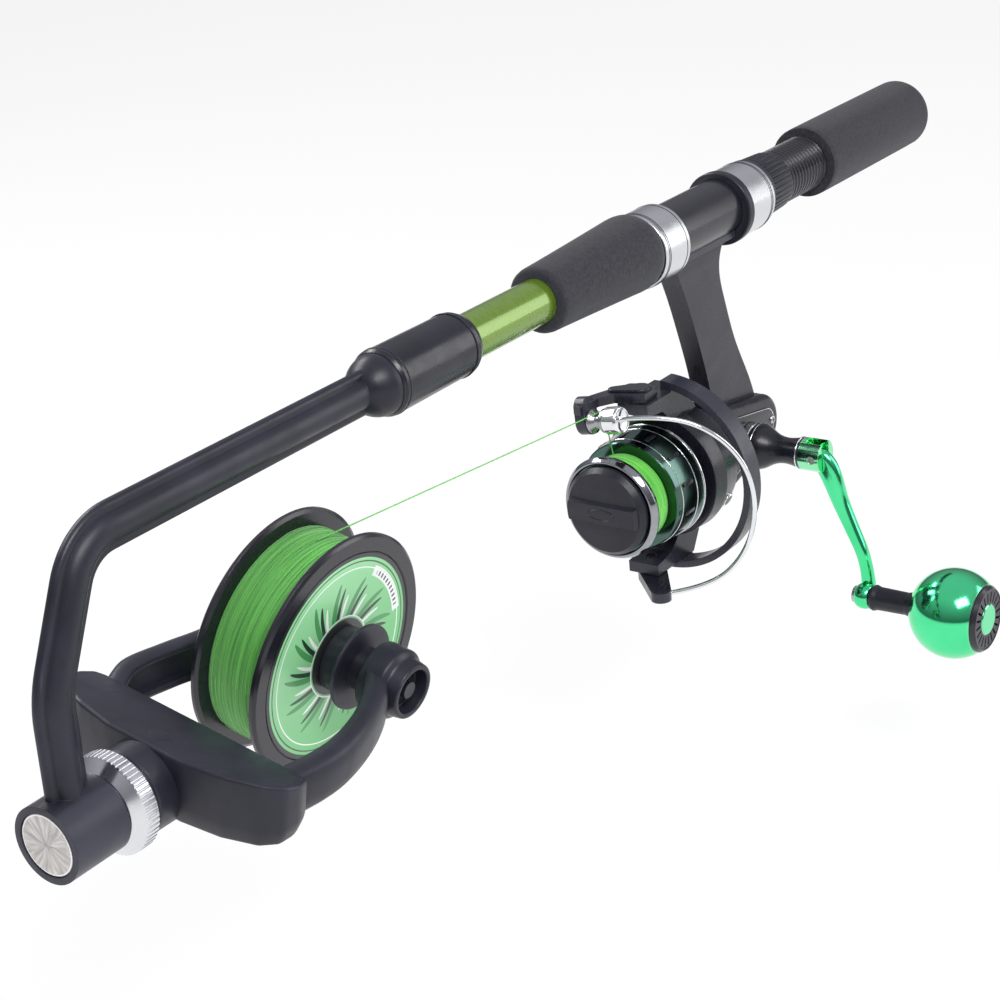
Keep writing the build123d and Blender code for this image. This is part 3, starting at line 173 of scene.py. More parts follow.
def tube(name, points, radius, material, sides=8, closed=False):
    """A round tube that follows points, with flat ends."""
    curve = bpy.data.curves.new(name, "CURVE")
    curve.dimensions = "3D"
    curve.bevel_depth = radius
    curve.bevel_resolution = max(0, sides // 4 - 1)
    curve.use_fill_caps = True
    spline = curve.splines.new("POLY")
    spline.points.add(len(points) - 1)
    for spot, point in zip(spline.points, points):
        spot.co = (*point, 1)
    spline.use_cyclic_u = closed
    holder = bpy.data.objects.new(name + "_path", curve)
    bpy.context.scene.collection.objects.link(holder)
    mesh = bpy.data.meshes.new_from_object(holder.evaluated_get(bpy.context.evaluated_depsgraph_get()))
    bpy.data.objects.remove(holder)
    mesh.materials.clear()
    mesh.polygons.foreach_set("use_smooth", [True] * len(mesh.polygons))
    return link(name, mesh, material)


def prism(name, outline, plane_origin, u, v, depth, material, bevel=0.0):
    """A plate: an outline in millimetres on the directions u and v, pushed out by depth along u x v."""
    bm = bmesh.new()
    floor = [bm.verts.new(plane_origin + (u * x + v * y) * MM) for x, y in outline]
    face = bm.faces.new(floor)
    push = u.cross(v).normalized() * depth * MM
    top = bmesh.ops.extrude_face_region(bm, geom=[face])["geom"]
    bmesh.ops.translate(bm, verts=[g for g in top if isinstance(g, bmesh.types.BMVert)], vec=push)
    if bevel:
        bmesh.ops.bevel(bm, geom=bm.edges[:], offset=bevel * MM, segments=3, affect="EDGES", profile=0.6)
    return finish_mesh(name, bm, material, 30)


def bent_wire(name, points, radius, material, rings, steps):
    """A round wire bent smoothly along points."""
    curve = bpy.data.curves.new(name, "CURVE")
    curve.dimensions = "3D"
    curve.bevel_depth = radius
    curve.bevel_resolution = rings
    curve.resolution_u = steps
    curve.use_fill_caps = True
    spline = curve.splines.new("NURBS")
    spline.points.add(len(points) - 1)
    for spot, point in zip(spline.points, points):
        spot.co = (*point, 1)
    spline.order_u = 3
    spline.use_endpoint_u = True
    wire = bpy.data.objects.new(name, curve)
    bpy.context.scene.collection.objects.link(wire)
    wire.data.materials.append(material)
    return wire


def smooth(points, steps=8):
    """Points on a smooth curve through the given ones."""
    made = []
    last = len(points) - 1
    for n in range(last):
        a, b, c, d = (points[max(0, min(last, k))] for k in (n - 1, n, n + 1, n + 2))
        for step in range(steps):
            t = step / steps
            made.append((b * 2 + (c - a) * t + (a * 2 - b * 5 + c * 4 - d) * t ** 2
                         + (b * 3 - a - c * 3 + d) * t ** 3) / 2)
    return made + [points[-1]]


def loft(name, sections, material, sharp=40.0):
    """A skin over closed sections that have as many points each, with a flat face at both ends."""
    bm = bmesh.new()
    rings = [[bm.verts.new(point) for point in section] for section in sections]
    for first, second in zip(rings, rings[1:]):
        for n in range(len(first)):
            after = (n + 1) % len(first)
            bm.faces.new((first[n], first[after], second[after], second[n]))
    bm.faces.new(rings[0])
    bm.faces.new(rings[-1])
    return finish_mesh(name, bm, material, sharp)


# ---------------------------------------------------------------- material helpers
class Shader:
    """One material's node tree, with short calls for the nodes used here."""

    def __init__(self, name):
        self.material = bpy.data.materials.new(name)
        self.material.use_nodes = True
        self.tree = self.material.node_tree
        self.bsdf = self.tree.nodes["Principled BSDF"]
        self.place = self.node("ShaderNodeTexCoord").outputs["Object"]

    def node(self, kind, **settings):
        made = self.tree.nodes.new(kind)
        for key, value in settings.items():
            setattr(made, key, value)
        return made

    def plug(self, value, socket):
        if isinstance(value, bpy.types.NodeSocket):
            self.tree.links.new(value, socket)
        else:
            socket.default_value = value

    def math(self, operation, a, b=0.0, c=0.0, clamp=False):
        made = self.node("ShaderNodeMath", operation=operation, use_clamp=clamp)
        for value, socket in zip((a, b, c), made.inputs):
            self.plug(value, socket)
        return made.outputs[0]

    def between(self, value, low, high, soft=0.0001):
        """1 where value is from low to high, else 0."""
        up = self.math("MULTIPLY_ADD", self.math("SUBTRACT", value, low), 1 / soft, 0.5, True)
        down = self.math("MULTIPLY_ADD", self.math("SUBTRACT", high, value), 1 / soft, 0.5, True)
        return self.math("MULTIPLY", up, down)

    def mix(self, amount, a, b):
        made = self.node("ShaderNodeMix", data_type="RGBA")
        self.plug(amount, made.inputs["Factor"])
        for value, socket in ((a, made.inputs[6]), (b, made.inputs[7])):
            self.plug(value if isinstance(value, bpy.types.NodeSocket) else (*value[:3], 1), socket)
        return made.outputs[2]

    def stretched(self, scale, place=None, offset=(0, 0, 0), turn=(0, 0, 0)):
        made = self.node("ShaderNodeMapping")
        self.plug(place or self.place, made.inputs["Vector"])
        made.inputs["Scale"].default_value = scale
        made.inputs["Location"].default_value = offset
        made.inputs["Rotation"].default_value = turn
        return made.outputs[0]

    def noise(self, scale, detail=4.0, place=None, rough=0.55):
        made = self.node("ShaderNodeTexNoise")
        self.plug(place or self.place, made.inputs["Vector"])
        made.inputs["Scale"].default_value = scale
        made.inputs["Detail"].default_value = detail
        made.inputs["Roughness"].default_value = rough
        return made.outputs["Fac"]

    def cells(self, scale, place=None):
        made = self.node("ShaderNodeTexVoronoi")
        self.plug(place or self.place, made.inputs["Vector"])
        made.inputs["Scale"].default_value = scale
        return made.outputs["Distance"]

    def spread(self, value, low, high, to_low, to_high):
        made = self.node("ShaderNodeMapRange")
        for number, socket in zip((value, low, high, to_low, to_high), made.inputs):
            self.plug(number, socket)
        return made.outputs[0]

    def polar(self, centre, turn=0.0, axis="X"):
        """Radius and angle about an axis through centre, after a turn about X, and the station along the axis."""
        moved = self.stretched((1, 1, 1), offset=tuple(-centre))
        leaned = self.stretched((1, 1, 1), place=moved, turn=(-turn, 0, 0))
        parts = self.node("ShaderNodeSeparateXYZ")
        self.plug(leaned, parts.inputs[0])
        x, y, z = parts.outputs
        a, b, along = (y, z, x) if axis == "X" else (x, z, y)
        radius = self.math("SQRT", self.math("ADD", self.math("MULTIPLY", a, a), self.math("MULTIPLY", b, b)))
        return radius, self.math("ARCTAN2", b, a), along, a, b

    def round_place(self, centre, turn=0.0, axis="X", along=1.0, around=1.0, out=1.0):
        """Coordinates wrapped round an axis, so that a texture runs along or around a turned piece."""
        radius, angle, station, _, _ = self.polar(centre, turn, axis)
        joined = self.node("ShaderNodeCombineXYZ")
        self.plug(self.math("MULTIPLY", station, along), joined.inputs[0])
        self.plug(self.math("MULTIPLY", angle, around), joined.inputs[1])
        self.plug(self.math("MULTIPLY", radius, out), joined.inputs[2])
        return joined.outputs[0]

    def bump(self, height, strength, distance, edge=0.0):
        """A bump, over edges rounded by edge metres."""
        made = self.node("ShaderNodeBump")
        made.inputs["Strength"].default_value = strength
        made.inputs["Distance"].default_value = distance
        self.plug(height, made.inputs["Height"])
        if edge:
            soft = self.node("ShaderNodeBevel", samples=4)
            soft.inputs["Radius"].default_value = edge
            self.plug(soft.outputs[0], made.inputs["Normal"])
        return made.outputs[0]

    def wear(self):
        """1 on worn convex edges, 0 elsewhere."""
        point = self.node("ShaderNodeNewGeometry").outputs["Pointiness"]
        return self.spread(point, 0.53, 0.62, 0.0, 1.0)

    def set(self, **values):
        names = dict(colour="Base Color", rough="Roughness", metal="Metallic", coat="Coat Weight",
                     coat_rough="Coat Roughness", normal="Normal", sheen="Sheen Weight",
                     specular="Specular IOR Level")
        for key, value in values.items():
            if isinstance(value, tuple) and len(value) == 3:
                value = (*value, 1)
            self.plug(value, self.bsdf.inputs[names[key]])
        return self.material


def moulded(name, dark, light, rough=(0.38, 0.5), grain=0.25, grain_scale=900.0, edge=0.0004, specular=0.5):
    """Moulded plastic or satin paint: fine texture, faint cloudiness and slightly worn edges."""
    s = Shader(name)
    cloud = s.noise(45, 3)
    fine = s.noise(grain_scale, 5, rough=0.65)
    tone = s.mix(s.spread(cloud, 0.3, 0.7, 0, 1), dark, light)
    worn = s.mix(s.math("MULTIPLY", s.wear(), 0.35), tone, tuple(min(1, c * 2.6 + 0.02) for c in light))
    smear = s.noise(120, 4, s.stretched((1, 3, 1)))
    return s.set(colour=worn, rough=s.spread(smear, 0.3, 0.7, *rough), specular=specular,
                 normal=s.bump(fine, grain, 0.00004, edge))


def polished(name, colour, shade, rough):
    """Polished or plated metal with faint smears."""
    s = Shader(name)
    smear = s.noise(60, 5)
    fine = s.noise(2500, 2)
    return s.set(colour=s.mix(s.spread(smear, 0.35, 0.7, 0, 1), colour, shade), metal=1.0,
                 rough=s.spread(smear, 0.3, 0.75, *rough), normal=s.bump(fine, 0.05, 0.00001, 0.0003))


def turned_metal(name, centre, turn, axis, colour, shade, rough=(0.18, 0.32), lines=9000.0, strength=0.12,
                 edge=0.0003):
    """Metal turned in a lathe: fine rings round its axis."""
    s = Shader(name)
    rings = s.noise(1.0, 2, s.round_place(centre, turn, axis, along=lines, around=3.0, out=lines))
    smear = s.noise(80, 4)
    return s.set(colour=s.mix(rings, colour, shade), metal=1.0, rough=s.spread(smear, 0.3, 0.7, *rough),
                 normal=s.bump(rings, strength, 0.00002, edge))


# ---------------------------------------------------------------- materials
def foam():
    """Closed-cell foam: speckle, pores and a soft sheen."""
    s = Shader("eva_foam")
    pores = s.cells(1500)
    coarse = s.noise(700, 6, rough=0.7)
    cloud = s.noise(70, 3)
    tone = s.mix(s.spread(coarse, 0.35, 0.7, 0, 1), (0.013, 0.013, 0.018), (0.046, 0.046, 0.056))
    tone = s.mix(s.spread(cloud, 0.35, 0.7, 0, 0.3), tone, (0.036, 0.036, 0.044))
    pits = s.spread(pores, 0.0, 0.35, 0.0, 1.0)
    tone = s.mix(s.math("MULTIPLY", s.math("SUBTRACT", 1.0, pits), 0.7), tone, (0.008, 0.008, 0.009))
    height = s.math("ADD", pits, s.math("MULTIPLY", coarse, 0.8))
    return s.set(colour=tone, rough=s.spread(coarse, 0.3, 0.7, 0.7, 0.9), sheen=0.12, specular=0.3,
                 normal=s.bump(height, 0.55, 0.0002))


def green_tube():
    """Metallic lacquer over a woven blank: flakes, a faint spiral of tape marks and a clear coat."""
    s = Shader("green_tube")
    flake = s.cells(5200)
    spiral = s.noise(1.0, 3, s.round_place(Vector((0, 0, 0)), along=900, around=2.0, out=0.0))
    tone = s.mix(s.spread(flake, 0.1, 0.6, 0, 1), (0.165, 0.29, 0.022), (0.125, 0.235, 0.014))
    tone = s.mix(s.spread(spiral, 0.4, 0.65, 0, 0.25), tone, (0.22, 0.36, 0.045))
    return s.set(colour=tone, metal=0.45, rough=s.spread(spiral, 0.3, 0.7, 0.24, 0.34), coat=0.8, coat_rough=0.05,
                 normal=s.bump(spiral, 0.05, 0.0001))


def black_gloss():
    """Glossy black lacquer with dust and faint handling marks."""
    s = Shader("black_gloss")
    marks = s.noise(70, 4, s.stretched((0.3, 1, 1)))
    tone = s.mix(s.spread(marks, 0.3, 0.8, 0, 1), (0.010, 0.010, 0.016), (0.014, 0.014, 0.022))
    return s.set(colour=tone, rough=s.spread(marks, 0.3, 0.8, 0.24, 0.31), coat=0.15, coat_rough=0.15, specular=0.5,
                 normal=s.bump(s.noise(1400, 3), 0.015, 0.00002, 0.0004))


def anodised_green():
    """Green mirror anodising: deep green reflections with a paler edge."""
    s = Shader("green_anodised")
    smear = s.noise(35, 4)
    tone = s.mix(s.spread(smear, 0.3, 0.7, 0, 1), (0.06, 0.72, 0.28), (0.10, 0.84, 0.37))
    tone = s.mix(s.math("MULTIPLY", s.wear(), 0.6), tone, (0.45, 0.85, 0.55))
    return s.set(colour=tone, metal=1.0, rough=s.spread(smear, 0.3, 0.75, 0.07, 0.17), coat=0.3, coat_rough=0.04,
                 normal=s.bump(s.noise(1800, 3), 0.03, 0.00002, 0.0004))


def pressed_foil():
    """Warm pale nickel foil with facets pressed into it, fanned out from its middle, with painted reflection streaks
    in its colour along the fan, and a bright rim.
    """
    s = Shader("nickel_foil")
    radius = s.polar(YOKE_ORIGIN)[0]
    fan_and_painted_streaks = s.noise(1.0, 3, s.round_place(YOKE_ORIGIN, along=0.0, around=5.0, out=120))
    facets = s.cells(260, s.stretched((0.2, 1.0, 0.45)))
    # painted reflection: the fan's streaks lighten and darken the nickel's colour as an anisotropic reflection would
    tone = s.mix(s.spread(fan_and_painted_streaks, 0.35, 0.65, 0, 1), (0.70, 0.67, 0.65), (0.42, 0.40, 0.385))
    tone = s.mix(s.math("GREATER_THAN", radius, 0.0098), tone, (0.9, 0.9, 0.9))
    height = s.math("ADD", fan_and_painted_streaks, s.math("MULTIPLY", facets, 0.7))
    return s.set(colour=tone, metal=0.85, rough=s.spread(facets, 0.0, 0.6, 0.2, 0.36),
                 normal=s.bump(height, 0.5, 0.0006, 0.0003))


def braid(name, dark, light, centre, turn, axis, bump_strength=0.5):
    """Braided line: strands that run round the spool, with bands from turn to turn that are partly the line's own
    tone and partly painted shade and painted highlight.
    """
    s = Shader(name)
    tone_and_painted_light_bands = s.noise(1.0, 3, s.round_place(centre, turn, axis, along=2600, around=0.9, out=900))
    plait = s.noise(1.0, 2, s.round_place(centre, turn, axis, along=5200, around=300, out=0.0))
    # partly painted light: the bands swing between a painted shade colour and a painted highlight colour
    tone = s.mix(s.spread(tone_and_painted_light_bands, 0.32, 0.68, 0, 1), dark, light)
    tone = s.mix(s.spread(plait, 0.45, 0.7, 0, 0.5), tone, tuple(min(1, c * 1.5 + 0.03) for c in light))
    return s.set(colour=tone, rough=s.spread(plait, 0.3, 0.7, 0.45, 0.7), sheen=0.3,
                 normal=s.bump(plait, bump_strength, 0.0001))


def label_print():
    """A generic printed label in green, with painted light that makes it paler towards its top and front, three sets
    of swirling blades, a ticket with ticks, and ring lines.
    """
    s = Shader("spool_label")
    radius, angle, _, x, z = s.polar(SUPPLY_CENTRE, LEAN, "Y")
    # painted light: the label's green grows paler towards its top and front, the key lamp's side
    painted_light_fade = s.spread(s.math("SUBTRACT", z, s.math("MULTIPLY", x, 0.6)), -0.036, 0.036, 0, 1)
    tone = s.mix(painted_light_fade, (0.12, 0.46, 0.15), (0.30, 0.68, 0.34))
    blade_count, blade_start, swirl_rate = 13.0, 0.0150, 210.0
    blades = ((0.0, 0.55, 0.0290, (0.07, 0.30, 0.10)), (1.7, 0.72, 0.0265, (0.015, 0.05, 0.03)),
              (3.4, 0.82, 0.0235, (0.82, 0.86, 0.82)))
    for phase, width, reach, colour in blades:
        swirl = s.math("MULTIPLY_ADD", radius, swirl_rate, phase)
        wave = s.math("SINE", s.math("ADD", s.math("MULTIPLY", angle, blade_count), swirl))
        taper = s.spread(radius, blade_start, reach, width, 1.0)
        blade = s.math("MULTIPLY", s.math("GREATER_THAN", wave, taper), s.between(radius, blade_start, reach))
        tone = s.mix(blade, tone, colour)
    ticket = s.math("MULTIPLY", s.between(radius, 0.0300, 0.0338), s.between(angle, 0.15, 1.0, 0.01))
    tone = s.mix(ticket, tone, (0.78, 0.82, 0.79))
    ticks = s.math("GREATER_THAN", s.math("SINE", s.math("MULTIPLY", angle, 90.0)), 0.3)
    tick_band = s.math("MULTIPLY", s.between(radius, 0.0308, 0.0330), s.between(angle, 0.22, 0.92, 0.01))
    ticks = s.math("MULTIPLY", ticks, tick_band)
    tone = s.mix(ticks, tone, (0.03, 0.035, 0.045))
    for low, high, colour in ((0.0364, 0.0380, (0.02, 0.022, 0.024)), (0.0348, 0.0353, (0.03, 0.09, 0.04)),
                              (0.0325, 0.0329, (0.9, 0.92, 0.9)), (0.0085, 0.0142, (0.025, 0.028, 0.03)),
                              (0.0148, 0.0152, (0.9, 0.92, 0.9))):
        tone = s.mix(s.between(radius, low, high), tone, colour)
    fibre = s.noise(1600, 4)
    return s.set(colour=tone, rough=s.spread(fibre, 0.3, 0.7, 0.28, 0.42), coat=0.35, coat_rough=0.1,
                 normal=s.bump(fibre, 0.05, 0.00004))


def floor_material():
    """A pale floor that keeps a soft shadow and reads as white to the camera."""
    s = Shader("floor")
    speck = s.noise(6, 3)
    s.set(colour=s.mix(speck, (0.90, 0.90, 0.90), (0.93, 0.93, 0.93)), rough=0.9, specular=0.1)
    glow = s.node("ShaderNodeEmission")
    glow.inputs["Strength"].default_value = 1.0
    blend = s.node("ShaderNodeMixShader")
    path = s.node("ShaderNodeLightPath")
    seen = s.math("MAXIMUM", path.outputs["Is Camera Ray"], path.outputs["Is Glossy Ray"])
    s.plug(s.math("MULTIPLY", seen, 0.8), blend.inputs[0])
    s.plug(s.bsdf.outputs[0], blend.inputs[1])
    s.plug(glow.outputs[0], blend.inputs[2])
    output = [n for n in s.tree.nodes if n.type == "OUTPUT_MATERIAL"][0]
    s.plug(blend.outputs[0], output.inputs["Surface"])
    return s.material


BLACK_SATIN = moulded("black_satin", (0.010, 0.010, 0.018), (0.020, 0.020, 0.033), rough=(0.34, 0.46), grain=0.3,
                      specular=0.4)
BLACK_PAINT = moulded("black_paint", (0.008, 0.008, 0.014), (0.016, 0.016, 0.026), rough=(0.22, 0.34), grain=0.12,
                      specular=0.45)
BLACK_FINE = moulded("black_fine", (0.009, 0.009, 0.015), (0.018, 0.018, 0.029), rough=(0.3, 0.42), grain=0.2,
                     grain_scale=1600, edge=0.0002, specular=0.4)
BLACK_GLOSS = black_gloss()
FOAM = foam()
GREEN_TUBE = green_tube()
GREEN_MIRROR = anodised_green()
HOOD_METAL = turned_metal("hood_aluminium", Vector((0, 0, 0)), 0.0, "X", (0.74, 0.75, 0.77), (0.62, 0.63, 0.66),
                          rough=(0.2, 0.3))
KNOB_METAL = turned_metal("knob_aluminium", YOKE_ORIGIN, 0.0, "X", (0.80, 0.81, 0.83), (0.66, 0.67, 0.70),
                          rough=(0.16, 0.28), lines=7000, edge=0.0)
COLLAR_METAL = turned_metal("collar_aluminium", CRANK_AXIS_POINT, 0.0, "Y", (0.78, 0.79, 0.80), (0.64, 0.65, 0.67))
CHROME = polished("bright_chrome", (0.86, 0.87, 0.89), (0.76, 0.77, 0.80), rough=(0.03, 0.1))
GUN_CHROME = polished("gunmetal_chrome", (0.36, 0.365, 0.39), (0.26, 0.265, 0.29), rough=(0.05, 0.13))
SPOOL_METAL = turned_metal("spool_metal", REEL_AXIS_POINT, 0.0, "X", (0.10, 0.175, 0.15), (0.06, 0.11, 0.092),
                           rough=(0.1, 0.2), lines=6000, strength=0.06)
ROLLER_METAL = turned_metal("roller_metal", ROLLER_SPOT, ROLLER_LEAN, "Y", (0.5, 0.5, 0.52), (0.3, 0.3, 0.33))
CAP_FOIL = pressed_foil()
STEEL = polished("steel", (0.55, 0.55, 0.56), (0.45, 0.45, 0.47), rough=(0.2, 0.32))
BRASS = polished("brass", (0.72, 0.53, 0.22), (0.6, 0.42, 0.16), rough=(0.2, 0.35))
# each braid's dark and light colours are its green with painted shade and with painted highlight
SUPPLY_BRAID = braid("supply_braid", (0.022, 0.17, 0.022), (0.15, 0.56, 0.09), SUPPLY_CENTRE, LEAN, "Y")
REEL_BRAID = braid("reel_braid", (0.05, 0.42, 0.03), (0.22, 0.80, 0.11), REEL_AXIS_POINT, 0.0, "X")
LINE_BRAID = braid("line_braid", (0.05, 0.36, 0.03), (0.14, 0.60, 0.07), Vector((0, 6, -60)) * MM, 0.0, "X", 0.3)
LABEL = label_print()

NODE_MATERIALS = {
    "rod_tube": GREEN_TUBE, "reel_seat": BLACK_GLOSS, "front_hood": HOOD_METAL, "rear_hood": HOOD_METAL,
    "hood_liner": BLACK_FINE, "lock_nut": BLACK_FINE, "arm_sleeve": BLACK_PAINT, "winder_arm": BLACK_SATIN,
    "boss_cap": CAP_FOIL, "swivel_bolt": STEEL, "bolt_nut": STEEL, "swivel_knob": KNOB_METAL,
    "far_centre": BLACK_SATIN, "hub_plunger": BLACK_FINE,
    "supply_spool": BLACK_GLOSS, "spool_labels": LABEL, "reel_housing": BLACK_PAINT, "side_cover": BLACK_PAINT,
    "cover_screws": STEEL, "tail_guard": BLACK_FINE, "pinion_bearing": STEEL, "crank_bearings": STEEL,
    "crank_collar": COLLAR_METAL, "crank_stem": BLACK_PAINT, "drive_gear": BRASS, "crank_fork": GREEN_MIRROR,
    "fold_pin": STEEL, "knob_spindle": STEEL, "knob_neck": BLACK_FINE, "knob_ball": GREEN_MIRROR,
    "knob_ring": BLACK_GLOSS, "vent_cap": BLACK_FINE, "knob_badge": GREEN_MIRROR, "rotor": BLACK_PAINT,
    "pinion_gear": BRASS, "rotor_nut": STEEL, "bail_arm": BLACK_PAINT, "bail_cover": BLACK_GLOSS,
    "bail_holder": BLACK_PAINT, "line_roller": ROLLER_METAL, "main_shaft": STEEL, "spool_slider": BRASS,
    "reel_spool": SPOOL_METAL, "drag_knob": BLACK_FINE,
}


# ---------------------------------------------------------------- the line
def make_line():
    """The braided line from the supply spool over the roller to the reel's spool, held taut."""
    route = [Vector(p) * MM for p in ((-387.6, 5.66, -45.14), (-209.5, 6.62, -60.85), (-209.5, 3.33, -79.79))]
    start, corner, end = route
    bend = 3.5 * MM
    points = [start, corner + (start - corner).normalized() * bend, corner,
              corner + (end - corner).normalized() * bend, end]
    line = bent_wire("fishing_braid", points, 0.25 * MM, LINE_BRAID, 3, 24)
    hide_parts("fishing_line")
    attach(line, "handle")


# ---------------------------------------------------------------- soft pieces
def make_grips():
    """The two foam grips, with softly rounded ends and hollowed inner faces."""
    bore = 8.85
    rear = [(-49.5, bore), (-49.5, 15.2), (-49.2, 15.4), (-46.0, 15.5), (0.0, 15.52), (36.0, 15.5), (41.0, 15.45)]
    end_round = 8.0
    rear += [(41.5 + end_round * math.sin(a), 7.5 + end_round * math.cos(a))
             for a in (math.radians(d) for d in range(6, 91, 6))]
    rear += [(49.5, 6.0), (49.0, 0.0), (42.2, 0.0), (42.2, bore)]
    grip = lathe("rear_foam_grip", rear, Vector((0, 0, 0)), X_AXIS, FOAM, 144, 50)
    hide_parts("rear_grip")
    low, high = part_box("front_grip")
    front_x, rear_x = low[0] / MM, high[0] / MM
    front = [(front_x, bore), (front_x, 11.3), (front_x + 0.35, 12.2), (front_x + 1.2, 12.75), (front_x + 2.6, 13.0)]
    for step in range(1, 12):
        t = step / 12
        front.append((front_x + 2.6 + (rear_x - 8.0 - front_x - 2.6) * t, 13.0 + 2.62 * t ** 1.1))
    front += [(rear_x - 8.0, 15.65), (rear_x - 5.0, 15.68), (rear_x - 2.6, 15.4), (rear_x - 1.0, 14.8),
              (rear_x - 0.05, 14.0), (rear_x - 0.05, bore)]
    grip_front = lathe("front_foam_grip", front, Vector((0, 0, 0)), X_AXIS, FOAM, 144, 50)
    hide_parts("front_grip")
    for piece in (grip, grip_front):
        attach(piece, "handle")


def wound(name, origin, axis, up, radius, low, high, passes, material, seed):
    """Turns of line laid to and fro across a spool, each pass a layer with its own pitch."""
    wire = 0.32
    turn_steps = 72
    draw = random.Random(seed)
    side = axis.cross(up)
    points = []
    station = low
    direction = 1
    for turns, lift in passes:
        steps = int(turns * turn_steps)
        travel = (high - low) / steps
        for n in range(steps):
            angle = math.tau * n / turn_steps
            wobble = 0.03 * math.sin(angle * 0.31 + draw.random() * 0.4)
            r = radius + lift + wobble
            points.append(origin + (axis * station + (up * math.cos(angle) + side * math.sin(angle)) * r) * MM)
            station += direction * travel
        direction = -direction
    return tube(name, points, wire / 2 * MM, material, sides=6)


def make_windings():
    """The line wound on the supply spool and on the reel, over plain cores."""
    origin = SUPPLY_CENTRE
    core = [(2.62, 14.1), (2.62, 37.95), (5.0, 38.2), (22.5, 38.2), (24.88, 37.95), (24.88, 14.1)]
    bed = lathe("supply_line_bed", core, origin, SUPPLY_AXIS, SUPPLY_BRAID, 160)
    turns = wound("supply_line_wound", origin, SUPPLY_AXIS, SUPPLY_UP, 38.28, 2.85, 24.65, ((66, 0.0), (13, 0.22)),
                  SUPPLY_BRAID, 3)
    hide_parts("supply_winding")
    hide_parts("supply_winding")
    low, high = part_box("reel_winding")
    start, end = low[0] / MM, high[0] / MM
    reel_core = [(start + 0.02, 12.05), (start + 0.02, 18.0), (start + 1.2, 18.18), (end - 1.2, 18.18),
                 (end - 0.02, 18.0), (end - 0.02, 12.05)]
    reel_bed = lathe("reel_line_bed", reel_core, REEL_AXIS_POINT, X_AXIS, REEL_BRAID, 128)
    reel_turns = wound("reel_line_wound", REEL_AXIS_POINT, X_AXIS, Z_AXIS, 18.3, start + 0.35, end - 0.35,
                       ((30, 0.0), (6, 0.2)), REEL_BRAID, 8)
    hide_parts("reel_winding")
    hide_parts("reel_winding")
    for piece, body in ((bed, "supply"), (turns, "supply"), (reel_bed, "spool"), (reel_turns, "spool")):
        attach(piece, body)


# ---------------------------------------------------------------- moulded and forged shapes
def yoke_point(x, y, up):
    """A place in the yoke's own leaned frame, in millimetres."""
    return YOKE_ORIGIN + (X_AXIS * x + SUPPLY_AXIS * y + SUPPLY_UP * up) * MM


def yoke_arm(name, outer, inner, node):
    """One arm of the yoke: a smooth channel, crowned outside and hollow inside."""
    outer, inner = smooth([Vector(p) for p in outer], 9), smooth([Vector(p) for p in inner], 9)
    sections = []
    for out, near in zip(outer, inner):
        wide = (out - near).length
        below = [(0.0, -7.3), (0.7, -8.0), (wide - 3.4, -8.0), (wide - 1.4, -7.3), (wide - 0.35, -5.6), (wide, -2.6)]
        channel = [(0.0, 5.9), (0.5, 5.4), (2.6, 5.2), (3.0, 4.6)]
        section = (below + [(a, -up) for a, up in reversed(below)]
                   + channel + [(a, -up) for a, up in reversed(channel)])
        along = (out - near) / wide
        sections.append([yoke_point(near.x + along.x * a, near.y + along.y * a, up) for a, up in section])
    arm = loft(name, sections, BLACK_SATIN, 50)
    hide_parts(node)
    seat(arm, "yoke")


